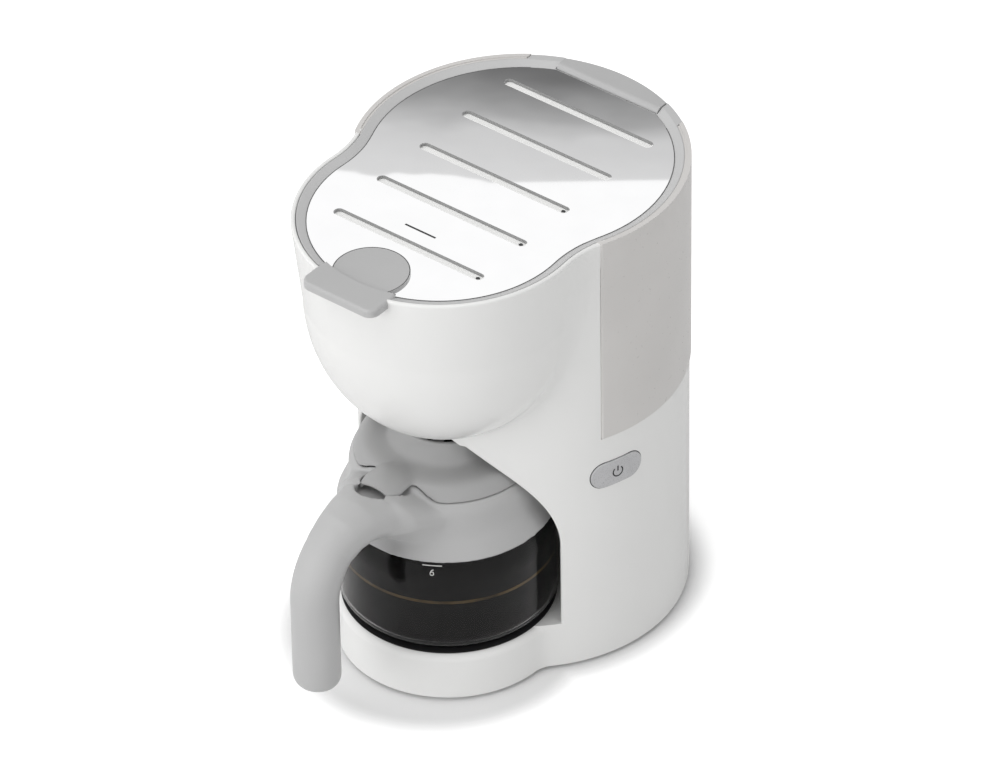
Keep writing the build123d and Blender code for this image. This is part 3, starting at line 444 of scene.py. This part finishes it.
def shell_rows():
    """Height and inset pairs up the outside of the shell, over the rim and down the inside."""
    rows = []
    outside = RIM_TOP - RIM_OUTER - SHELL_BOTTOM
    for step in range(SHELL_STEPS + 1):
        rows.append((SHELL_BOTTOM + outside * (step / SHELL_STEPS) ** SHELL_CROWDING, 0.0))
    outer_centre = (RIM_OUTER, RIM_TOP - RIM_OUTER)
    for inset, z in arc_points(RIM_OUTER, outer_centre, range(165, 89, -15)):
        rows.append((z, inset))
    inner_centre = (LIP - RIM_INNER, RIM_TOP - RIM_INNER)
    for inset, z in arc_points(RIM_INNER, inner_centre, range(90, -1, -30)):
        rows.append((z, inset))
    rows.append((LIP_BOTTOM, LIP))
    inside_top = LIP_BOTTOM - INSIDE_DROP
    for step in range(INSIDE_STEPS + 1):
        rows.append((inside_top + (SHELL_BOTTOM - inside_top) * step / INSIDE_STEPS, WALL))
    return rows


def shell_columns():
    """Shares of the half outline, doubled at the edge of the notch for the lid grip."""
    even = [step / OUTLINE_STEPS for step in range(OUTLINE_STEPS + 1)]
    kept = [share for share in even if abs(share - NOTCH_SHARE) > NOTCH_CLEAR]
    return sorted(kept + [NOTCH_SHARE - NOTCH_EDGE, NOTCH_SHARE + NOTCH_EDGE])


def notch_height(z):
    """Height that a row of the shell has in the notch."""
    if z <= NOTCH_START:
        return z
    return NOTCH_START + (z - NOTCH_START) * (NOTCH_TOP - NOTCH_START) / (BODY_TOP - NOTCH_START)


def add_shell(builder):
    """Waist and bowl of the brew head with a rolled rim, lowered under the lid grip."""
    columns = shell_columns()
    grid = []
    for z, inset in shell_rows():
        low_z = notch_height(z)
        full = half_outline(z, inset, columns)
        low = half_outline(low_z, inset, columns)
        right = []
        for share, high_place, low_place in zip(columns, full, low):
            in_notch = share > NOTCH_SHARE
            right.append((*low_place, low_z) if in_notch else (*high_place, z))
        left = [(-x, y, height) for x, y, height in reversed(right[:-1])]
        grid.append([builder.verts.new(Vector(place) * MM) for place in right + left])
    for low_row, high_row in zip(grid, grid[1:]):
        for step in range(len(low_row) - 1):
            builder.faces.new((low_row[step], high_row[step], high_row[step + 1], low_row[step + 1]))
    builder.faces.new([row[0] for row in reversed(grid)])
    builder.faces.new([row[-1] for row in grid])


def add_turned(builder, profile, start=0.0, end=360.0, steps=160, middle=HEAD_Y):
    """Solid turned about an upright axis from radius and height pairs, closed at its ends."""
    whole = end - start >= 360.0
    rings = []
    for step in range(steps if whole else steps + 1):
        angle = radians(start + (end - start) * step / steps)
        ring = []
        for radius, height in profile:
            place = Vector((radius * cos(angle), middle + radius * sin(angle), height))
            ring.append(builder.verts.new(place * MM))
        rings.append(ring)
    following = rings[1:] + rings[:1] if whole else rings[1:]
    count = len(profile)
    for one, two in zip(rings, following):
        for corner in range(count):
            after = (corner + 1) % count
            builder.faces.new((one[corner], two[corner], two[after], one[after]))
    if not whole:
        builder.faces.new(rings[0])
        builder.faces.new(list(reversed(rings[-1])))


# how near the column's wall a corner lies, and how squarely a face looks outward
ON_WALL = 0.05
OUTWARD = 0.9


def round_column(mesh_data):
    """Exact outward directions on the round wall of the column."""
    directions = [corner.vector.copy() for corner in mesh_data.corner_normals]
    for face in mesh_data.polygons:
        for loop in face.loop_indices:
            place = mesh_data.vertices[mesh_data.loops[loop].vertex_index].co / MM
            outward = Vector((place.x, place.y - COLUMN_Y, 0.0))
            on_wall = abs(outward.length - COLUMN_R) < ON_WALL
            if on_wall and face.normal.dot(outward.normalized()) > OUTWARD:
                directions[loop] = outward.normalized()
    mesh_data.normals_split_custom_set(directions)


def upper_shell():
    """Smooth upper body: waist, bowl and rim, the bowl's underside and the ledge inside it."""
    builder = bmesh.new()
    builder.from_mesh(nodes["upper_housing"].data)
    everything = builder.verts[:] + builder.edges[:] + builder.faces[:]
    cut = Vector((0.0, 0.0, SHELL_BOTTOM * MM))
    bmesh.ops.bisect_plane(builder, geom=everything, plane_co=cut, plane_no=(0, 0, 1), clear_outer=True)
    bmesh.ops.remove_doubles(builder, verts=builder.verts, dist=MERGE)
    add_shell(builder)
    ledge = band(LEDGE_INNER, LEDGE_OUTER, LEDGE_LOW, LEDGE_HIGH)
    add_turned(builder, ledge, LEDGE_START, LEDGE_END, LEDGE_STEPS)
    mesh_data = smooth_mesh("upper_shell", builder, SHELL_SHARP)
    round_column(mesh_data)
    piece = new_piece("upper_shell", mesh_data, WHITE, "machine")
    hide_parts("upper_housing")


# zones of extra smoothing, as low end, high end and soft distance: in x to both sides, in y from the
# head axis, and in z
HANDLE_ROOT = ((17.0, 40.0, 9.0), (-75.0, -30.0, 8.0), (98.0, 117.0, 5.0))
HOOD_FOOT = ((0.0, 20.0, 8.0), (-45.0, -24.0, 4.0), (122.0, 140.0, 4.0))

# dome of the jug's lid and collar: how far it swells, and where by radius and by height
SWELL_OUT = 4.1
SWELL_UP = 3.0
SWELL_RADII = (30.0, 58.0, 12.0)
SWELL_OUT_HEIGHTS = (119.0, 136.0, 13.0)
SWELL_UP_HEIGHTS = (112.0, 130.0, 8.0)
SMOOTHING = 0.5


def bump_share(value, low, high, soft):
    """One between low and high, falling to nothing over a soft distance outside."""
    outside = max(low - value, value - high, 0.0)
    share = max(1.0 - outside / soft, 0.0)
    return share * share * (3 - 2 * share)


def zone_share(place, zone):
    """Share of extra smoothing at a place."""
    across, along, up = zone
    in_width = bump_share(abs(place.x), *across)
    in_depth = bump_share(place.y - HEAD_Y, *along)
    return in_width * in_depth * bump_share(place.z, *up)


def swollen(place):
    """Position on the jug's lid and collar after they are rounded out into a fuller dome."""
    out = Vector((place.x, place.y - HEAD_Y, 0.0))
    near = bump_share(out.length, *SWELL_RADII)
    wider = SWELL_OUT * near * bump_share(place.z, *SWELL_OUT_HEIGHTS)
    higher = SWELL_UP * near * bump_share(place.z, *SWELL_UP_HEIGHTS)
    return place + out.normalized() * wider + Vector((0.0, 0.0, higher))


def shaped(name, mesh_data, *modifiers):
    """Mesh data with modifiers worked in, each a type, its settings and the zone it keeps to, if any."""
    for kind, settings, zone in modifiers:
        rough = bpy.data.objects.new(name, mesh_data)
        bpy.context.scene.collection.objects.link(rough)
        modifier = rough.modifiers.new(kind, kind)
        for setting, value in settings.items():
            setattr(modifier, setting, value)
        if zone:
            group = rough.vertex_groups.new(name="share")
            for vertex in mesh_data.vertices:
                share = zone_share(vertex.co / MM, zone)
                if share > 0.0:
                    group.add([vertex.index], share, "REPLACE")
            modifier.vertex_group = group.name
        graph = bpy.context.evaluated_depsgraph_get()
        mesh_data = bpy.data.meshes.new_from_object(rough.evaluated_get(graph))
        bpy.data.objects.remove(rough)
    mesh_data.name = name
    return mesh_data


def softened(name, voxel, rounds, material, sources, zone, zone_rounds):
    """Copy of the jug's CAD nodes grown together with soft edges, which stands for them."""
    builder = bmesh.new()
    for source in sources:
        builder.from_mesh(nodes[source].data)
    bmesh.ops.remove_doubles(builder, verts=builder.verts, dist=MERGE)
    mesh_data = shaped(
        name,
        smooth_mesh(name, builder, NEVER_SHARP),
        ("REMESH", {"mode": "VOXEL", "voxel_size": voxel * MM}, None),
        ("SMOOTH", {"factor": SMOOTHING, "iterations": rounds}, None),
        ("SMOOTH", {"factor": SMOOTHING, "iterations": zone_rounds}, zone),
    )
    for vertex in mesh_data.vertices:
        vertex.co = swollen(vertex.co / MM) * MM
    mesh_data.materials.clear()
    for face in mesh_data.polygons:
        face.use_smooth = True
        face.material_index = 0
    piece = new_piece(name, mesh_data, material, "carafe")
    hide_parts(*sources)


upper_shell()
softened("carafe_grip", 0.8, 8, GREY, ("carafe_collar", "carafe_handle"), HANDLE_ROOT, 150)
softened("carafe_cap", 0.7, 4, SHADED_CAP_GREY, ("carafe_lid",), HOOD_FOOT, 50)

# coffee in the jug up to the level mark, a hair away from the glass, with a painted amber glint round it
COFFEE_TOP = 90.3
COFFEE_R = 57.3
COFFEE_BOTTOM = 34.05
COFFEE_FOOT = 6.6
COFFEE_AXIS_R = 0.5
COFFEE_SHOULDER = ((COFFEE_R, 77.5), (56.9, 81.5), (55.9, 85.5), (54.6, COFFEE_TOP))
GLINT_Z = 65.7
GLINT_HALF = 0.9
GLINT_INNER = COFFEE_R + 0.05
GLINT_OUTER = COFFEE_R + 0.15

# dark ring round the hotplate
DECK_Z = 31.0
TRIM_INNER = 53.05
TRIM_OUTER = 58.3
TRIM_LOW = DECK_Z + 0.02
TRIM_HIGH = DECK_Z + 0.25

# fillers between the lid ring and the rim of the tank, over an angle in degrees
FILL_INNER = 86.1
FILL_OUTER = 87.37
FILL_LOW = 275.8
FILL_TOP = 278.35
FILL_START = -25.0
FILL_END = 54.4
FILL_STEPS = 80


def coffee_profile():
    """Half outline of the coffee from the middle of its floor up to its surface."""
    foot_centre = (COFFEE_R - COFFEE_FOOT, COFFEE_BOTTOM + COFFEE_FOOT)
    foot = arc_points(COFFEE_FOOT, foot_centre, range(-90, 1, 10))
    return [(COFFEE_AXIS_R, COFFEE_BOTTOM), *foot, *COFFEE_SHOULDER, (COFFEE_AXIS_R, COFFEE_TOP)]


def turned(name, profile, material, body, slot, **sweep):
    """Piece turned about an upright axis, the head axis if no other is given."""
    builder = bmesh.new()
    add_turned(builder, profile, **sweep)
    bmesh.ops.recalc_face_normals(builder, faces=builder.faces)
    return new_piece(name, smooth_mesh(name, builder, TURNED_SHARP), material, body)


turned("coffee", coffee_profile(), COFFEE, "carafe", "glass")
# painted amber glint round the coffee
glint = band(GLINT_INNER, GLINT_OUTER, GLINT_Z - GLINT_HALF, GLINT_Z + GLINT_HALF)
turned("coffee_glint", glint, PAINTED_GLINT, "carafe", "glass")
trim = band(TRIM_INNER, TRIM_OUTER, TRIM_LOW, TRIM_HIGH)
turned("hotplate_trim", trim, HOTPLATE, "machine", "hotplate_black")
fill = band(FILL_INNER, FILL_OUTER, FILL_LOW, FILL_TOP)
for side, start, end in (("right", FILL_START, FILL_END), ("left", 180 - FILL_END, 180 - FILL_START)):
    sweep = {"start": start, "end": end, "steps": FILL_STEPS, "middle": COLUMN_Y}
    turned(f"rim_fill_{side}", fill, TANK, "machine", "tank_clear", **sweep)


def ribbon(name, points, width, height, place, material, body, closed=False):
    """Flat raised line along points; place turns across, up and outward distances into a position."""
    line = bmesh.new()
    loops = []
    count = len(points)
    for index, (across, up) in enumerate(points):
        before = points[index - 1] if closed or index else points[0]
        after = points[(index + 1) % count] if closed or index < count - 1 else points[-1]
        run = Vector((after[0] - before[0], after[1] - before[1])).normalized()
        square = Vector((-run.y, run.x)) * width / 2
        loop = []
        for side, out in ((-1, 0.0), (1, 0.0), (1, height), (-1, height)):
            loop.append(line.verts.new(place(across + side * square.x, up + side * square.y, out)))
        loops.append(loop)
    following_loops = loops[1:] + loops[:1] if closed else loops[1:]
    for one, two in zip(loops, following_loops):
        for corner in range(4):
            following = (corner + 1) % 4
            line.faces.new((one[corner], one[following], two[following], two[corner]))
    if not closed:
        line.faces.new(loops[0])
        line.faces.new(list(reversed(loops[-1])))
    bmesh.ops.recalc_face_normals(line, faces=line.faces)
    mesh_data = bpy.data.meshes.new(name)
    line.to_mesh(mesh_data)
    line.free()
    return new_piece(name, mesh_data, material, body)


# thin lines: their height, and how far they stay off the surface under them
LINE_HEIGHT = 0.03
HAIR = 0.01

# power button on the side of the column, its symbol and a line of painted shade in the gap round it, angles
# in degrees
BUTTON_ANGLE = -18.3
BUTTON_Z = 125.5
BUTTON_OUT = 0.9
BUTTON_LENGTH = 32.0
BUTTON_HEIGHT = 16.0
BUTTON_CLEAR = 0.5
BUTTON_GAP_WIDTH = 0.45
SYMBOL_R = 3.0
SYMBOL_WIDTH = 0.75
SYMBOL_HEIGHT = 0.08
SYMBOL_TURN = range(48, -229, -6)
SYMBOL_BAR = [(0.0, 0.4), (0.0, 3.7)]


def stadium(length, width):
    """Outline of a slot with round ends."""
    radius = width / 2
    reach = length / 2 - radius
    right = arc_points(radius, (reach, 0.0), range(-90, 91, 12))
    left = arc_points(radius, (-reach, 0.0), range(90, 271, 12))
    return right + left


def on_button(across, up, out):
    """Position on the face of the power button."""
    radius = COLUMN_R + BUTTON_OUT + HAIR + out
    angle = radians(BUTTON_ANGLE) + across / radius
    return Vector((radius * cos(angle), COLUMN_Y + radius * sin(angle), BUTTON_Z + up)) * MM


def on_column(across, up, out):
    """Position on the column around the power button."""
    radius = COLUMN_R + HAIR + out
    angle = radians(BUTTON_ANGLE) + asin(across / radius)
    return Vector((radius * cos(angle), COLUMN_Y + radius * sin(angle), BUTTON_Z + up)) * MM


symbol = arc_points(SYMBOL_R, (0.0, 0.0), SYMBOL_TURN)
for name, points in (("power_ring", symbol), ("power_bar", SYMBOL_BAR)):
    ribbon(name, points, SYMBOL_WIDTH, SYMBOL_HEIGHT, on_button, INK_AND_SHADE, "button")
# dark line of painted shade in the gap round the button
gap = stadium(BUTTON_LENGTH + BUTTON_CLEAR, BUTTON_HEIGHT + BUTTON_CLEAR)
ribbon("button_gap_shade", gap, BUTTON_GAP_WIDTH, LINE_HEIGHT, on_column, INK_AND_SHADE, "machine", True)

# slots of the steel plate, far edge in painted shade and near edge in painted light, dark dots at some ends,
# and a slit
SLOT_LENGTH = 98.0
SLOT_WIDTH = 6.0
SLOT_PITCH = 35.9
SLOT_COUNT = 5
SLOT_FIRST_Y = COLUMN_Y - 94.0
SLOT_FLOOR = 274.82
EDGE_WIDTH = 0.5
EDGE_HEIGHT = 1.6
EDGE_CLEAR = 0.03
EDGE_R = (SLOT_WIDTH - EDGE_WIDTH) / 2 - EDGE_CLEAR
EDGE_X = (SLOT_LENGTH - SLOT_WIDTH) / 2
DOT_R = 1.1
DOT_HEIGHT = 0.5
DOT_X = 45.6
DOT_COUNT = 3
SLIT_Y = -30.9
SLIT_LEFT = -12.0
SLIT_RIGHT = 8.0
SLIT_WIDTH = 1.2


def on_slot_floor(across, along, out):
    """Position on the white floor under the slots."""
    return Vector((across, along, SLOT_FLOOR + out)) * MM


def on_plate(across, along, out):
    """Position on the steel plate."""
    return Vector((across, along, PLATE_TOP + HAIR + out)) * MM


def slot_edge(middle, *ends):
    """Points along the edge of a slot, from the side and the angles of each round end."""
    points = []
    for side, angles in ends:
        points += arc_points(EDGE_R, (side * EDGE_X, middle), angles)
    return points


for row in range(SLOT_COUNT):
    middle = SLOT_FIRST_Y + SLOT_PITCH * row
    far_edge = slot_edge(middle, (-1, range(240, 89, -10)), (1, range(90, 29, -10)))
    near_edge = slot_edge(middle, (1, range(28, -91, -10)), (-1, range(270, 241, -10)))
    # far edges dark as painted shade, near edges pale as painted light
    for side, edge, material in (("far", far_edge, SHADED_EDGE), ("near", near_edge, LIT_EDGE)):
        ribbon(f"slot_{side}_{row}", edge, EDGE_WIDTH, EDGE_HEIGHT, on_slot_floor, material, "lid")
    if row < DOT_COUNT:
        name = f"slot_dot_{row}"
        stop = arc_points(DOT_R / 2, (DOT_X, middle), range(0, 360, 20))
        ribbon(name, stop, DOT_R, DOT_HEIGHT, on_slot_floor, INK_AND_SHADE, "lid", True)
slit = [(SLIT_LEFT, SLIT_Y), (SLIT_RIGHT, SLIT_Y)]
ribbon("plate_slit", slit, SLIT_WIDTH, LINE_HEIGHT, on_plate, INK_AND_SHADE, "lid")

# lines of painted shade on the lid grip: in the groove round its pad and in the gap where its lip begins
PAD_R = 20.0
PAD_Y = HEAD_Y - 58.3
PAD_TOP = 277.81
PAD_TURN = range(-36, 217, 4)
PAD_LINE_WIDTH = 0.4
GRIP_GAP_R = HEAD_R - 8.0
GRIP_GAP_TURN = range(-109, -70, 2)
GRIP_GAP_WIDTH = 0.6
GRIP_GAP_HEIGHT = 0.25


def on_pad(across, along, out):
    """Position on the round pad of the lid grip."""
    return Vector((across, along, PAD_TOP + out)) * MM


pad_shade_line = arc_points(PAD_R, (0.0, PAD_Y), PAD_TURN)
ribbon("pad_shade_line", pad_shade_line, PAD_LINE_WIDTH, LINE_HEIGHT, on_pad, INK_AND_SHADE, "lid")
grip_gap_shade = arc_points(GRIP_GAP_R, (0.0, HEAD_Y), GRIP_GAP_TURN)
ribbon("grip_gap_shade", grip_gap_shade, GRIP_GAP_WIDTH, GRIP_GAP_HEIGHT, on_pad, INK_AND_SHADE, "lid")

# line of painted shade in the joint around the steel plate, from hinge lug to hinge lug
JOINT_INSET = 8.25
JOINT_WIDTH = 0.45
JOINT_STEPS = 60
JOINT_REAR_TURN = range(56, -24, -4)
joint = arc_points(COLUMN_R - JOINT_INSET, (0.0, COLUMN_Y), JOINT_REAR_TURN)
joint += half_outline(BODY_TOP, JOINT_INSET, [step / JOINT_STEPS for step in range(JOINT_STEPS + 1)])
joint += [(-across, along) for across, along in reversed(joint[:-1])]
ribbon("plate_joint_shade", joint, JOINT_WIDTH, LINE_HEIGHT, on_plate, JOINT_SHADE, "lid")

# level mark on the glass: a line with the number six under it
GLASS_R = 57.0
GLASS_BEYOND = 100.0
MARK_ANGLE = -59.7
MARK_Z = 90.4
MARK_HALF = 5.2
MARK_STEPS = 8
MARK_WIDTH = 0.45
MARK_CLEAR = 0.02
DIGIT_R = 0.95
DIGIT_DROP = -4.4
DIGIT_TURN = range(180, 545, 15)
DIGIT_STEM = [(0.85, -2.3), (0.2, -2.35), (-0.5, -3.0), (-0.9, -4.0)]
DIGIT_WIDTH = 0.4


def on_glass(across, up, out):
    """Position on the outside of the jug."""
    angle = radians(MARK_ANGLE) + across / GLASS_R
    outward = Vector((cos(angle), sin(angle), 0.0))
    axis = Vector((0.0, HEAD_Y, MARK_Z + up))
    _, place, facing, _ = nodes["carafe_glass"].ray_cast((axis + outward * GLASS_BEYOND) * MM, -outward)
    return place + facing * (MARK_CLEAR + out) * MM


mark_line = [(MARK_HALF * (2 * step / MARK_STEPS - 1), 0.0) for step in range(MARK_STEPS + 1)]
ribbon("level_line", mark_line, MARK_WIDTH, LINE_HEIGHT, on_glass, PALE_INK, "carafe")
digit = DIGIT_STEM + arc_points(DIGIT_R, (0.0, DIGIT_DROP), DIGIT_TURN)
ribbon("level_digit", digit, DIGIT_WIDTH, LINE_HEIGHT, on_glass, PALE_INK, "carafe")

# studio floor, metres, with a glow that starts outside two rounds near those of the base, so a painted
# contact shadow lies round the base
FLOOR_REACH = 12.0
FLOOR_SHADES = ((0.86, 0.86, 0.86), (0.88, 0.88, 0.88))
FLOOR_PATCH = 0.8
FLOOR_ROUGHNESS = 0.9
GLOW = 0.5
SHADOW_REACH = 0.02
SHADOW_ROUNDS = ((-2.0, COLUMN_Y - 1.0, COLUMN_R), (-6.0, HEAD_Y - 4.0, FOOT_R))

# soft lights: name, place and size in metres, and watts; light of the sky where it isn't seen
LIGHT_AIM = (0.0, 0.0, 0.12)
LIGHTS = (
    ("overhead", (-0.3, -0.6, 2.4), 2.2, 25.0),
    ("front_left", (-0.6, -2.3, 0.9), 1.6, 24.0),
    ("right_fill", (2.2, 0.2, 0.9), 1.6, 6.0),
)
SKY_LIGHT = 0.45

# grey card mirrored by the plate: millimetres on the plate that it covers, its waves and its shades
CARD_DISTANCE = 600.0
CARD_HALF = 130.0
CARD_NEAR = 18.0
CARD_FAR = 160.0
CARD_WAVES = 5.0
CARD_WAVE_DEPTH = 0.22
CARD_SLOPE = 0.3
CARD_SHADES = (
    (0.0, 1.0),
    (0.283, 1.0),
    (0.29, 0.7),
    (0.58, 0.62),
    (0.71, 0.4),
    (0.84, 0.27),
    (0.96, 0.18),
    (1.0, 0.16),
)


def add_sheet(name, corners, material):
    """Flat sheet of the studio."""
    mesh_data = bpy.data.meshes.new(name)
    mesh_data.from_pydata(corners, [], [(0, 1, 2, 3)])
    mesh_data.materials.append(material)
    sheet = bpy.data.objects.new(name, mesh_data)
    bpy.context.scene.collection.objects.link(sheet)
    return sheet


def shadow_distance(tree):
    """Distance on the floor from the nearer round of the painted contact shadow, negative inside it."""
    place = coordinate(tree, "Object")
    beside = []
    for across, along, radius in SHADOW_ROUNDS:
        away = tree.nodes.new("ShaderNodeVectorMath")
        away.operation = "DISTANCE"
        away.inputs[1].default_value = (across * MM, along * MM, 0.0)
        tree.links.new(place, away.inputs[0])
        beside.append(combined(tree, "SUBTRACT", away.outputs["Value"], radius * MM))
    return combined(tree, "MINIMUM", *beside)


def add_floor():
    """Pale floor that shows white to the camera, keeps the object's shadow and has a painted contact shadow
    round the base.
    """
    material, tree, shader = new_material("floor_pale")
    tree.links.new(tinted(tree, noise(tree, FLOOR_PATCH), *FLOOR_SHADES), shader.inputs["Base Color"])
    shader.inputs["Roughness"].default_value = FLOOR_ROUGHNESS
    rays = tree.nodes.new("ShaderNodeLightPath").outputs
    seen = combined(tree, "MAXIMUM", rays["Is Camera Ray"], rays["Is Transmission Ray"])
    # the glow fades out towards the base: painted contact shadow
    glow = remapped(tree, shadow_distance(tree), 0.0, SHADOW_REACH, 0.0, GLOW, "SMOOTHSTEP")
    shader.inputs["Emission Color"].default_value = (1.0, 1.0, 1.0, 1.0)
    tree.links.new(combined(tree, "MULTIPLY", seen, glow), shader.inputs["Emission Strength"])
    signs = ((-1, -1), (1, -1), (1, 1), (-1, 1))
    add_sheet("floor", [(x * FLOOR_REACH, y * FLOOR_REACH, 0.0) for x, y in signs], material)


def add_light(name, place, size, power):
    """Square soft light, not seen as a shine."""
    data = bpy.data.lights.new(name, "AREA")
    data.shape = "SQUARE"
    data.size = size
    data.energy = power
    light = bpy.data.objects.new(name, data)
    light.location = place
    light.rotation_euler = (Vector(LIGHT_AIM) - Vector(place)).to_track_quat("-Z", "Y").to_euler()
    light.visible_glossy = False
    bpy.context.scene.collection.objects.link(light)


def add_world():
    """Even soft sky, white where it is seen."""
    world = bpy.data.worlds.new("studio")
    bpy.context.scene.world = world
    world.use_nodes = True
    tree = world.node_tree
    sky = tree.nodes["Background"]
    sky.inputs["Color"].default_value = (1.0, 1.0, 1.0, 1.0)
    rays = tree.nodes.new("ShaderNodeLightPath").outputs
    seen = rays["Is Camera Ray"]
    for kind in ("Is Glossy Ray", "Is Transmission Ray"):
        seen = combined(tree, "MAXIMUM", seen, rays[kind])
    tree.links.new(remapped(tree, seen, 0.0, 1.0, SKY_LIGHT, 1.0), sky.inputs["Strength"])


def card_material():
    """Grey that darkens up the card, with a wavy and slightly sloping edge."""
    material, tree, shader = new_material("card_grey")
    place = coordinate(tree, "UV")
    parts = separated(tree, place)
    waves = tree.nodes.new("ShaderNodeTexNoise")
    waves.inputs["Scale"].default_value = CARD_WAVES
    tree.links.new(place, waves.inputs["Vector"])
    slope = combined(tree, "MULTIPLY_ADD", parts["X"], CARD_SLOPE, parts["Y"])
    wavy = combined(tree, "MULTIPLY_ADD", waves.outputs["Fac"], CARD_WAVE_DEPTH, slope)
    ramp = tree.nodes.new("ShaderNodeValToRGB")
    stops = ramp.color_ramp.elements
    for position, _ in CARD_SHADES[1:-1]:
        stops.new(position)
    for stop, (position, shade) in zip(stops, CARD_SHADES):
        stop.position = position
        stop.color = (shade, shade, shade, 1.0)
    tree.links.new(wavy, ramp.inputs["Fac"])
    shader.inputs["Base Color"].default_value = (0.0, 0.0, 0.0, 1.0)
    shader.inputs["Specular IOR Level"].default_value = 0.0
    shader.inputs["Emission Strength"].default_value = 1.0
    tree.links.new(ramp.outputs["Color"], shader.inputs["Emission Color"])
    return material


def add_card():
    """Grey card behind the machine, seen only as the shading mirrored on the rear of the steel plate."""
    eye = camera_axes()[3]
    mirrored_eye = Vector((eye.x, eye.y, 2 * PLATE_TOP - eye.z))
    azimuth = radians(VIEW_AZIMUTH)
    across = Vector((cos(azimuth), sin(azimuth), 0.0))
    away = Vector((-sin(azimuth), cos(azimuth), 0.0))
    corners = []
    for side, depth in ((-1, CARD_NEAR), (1, CARD_NEAR), (1, CARD_FAR), (-1, CARD_FAR)):
        spot = Vector((0.0, 0.0, PLATE_TOP)) + across * side * CARD_HALF + away * depth
        corners.append((spot + (spot - mirrored_eye).normalized() * CARD_DISTANCE) * MM)
    card = add_sheet("card", corners, card_material())
    layer = card.data.uv_layers.new(name="place")
    for loop, place in enumerate(((0, 0), (1, 0), (1, 1), (0, 1))):
        layer.data[loop].uv = place
    card.visible_camera = False
    card.visible_diffuse = False
    card.visible_transmission = False
    card.visible_shadow = False


add_camera()
add_floor()
add_world()
add_card()
for light in LIGHTS:
    add_light(*light)
bpy.context.scene.view_settings.view_transform = "Standard"
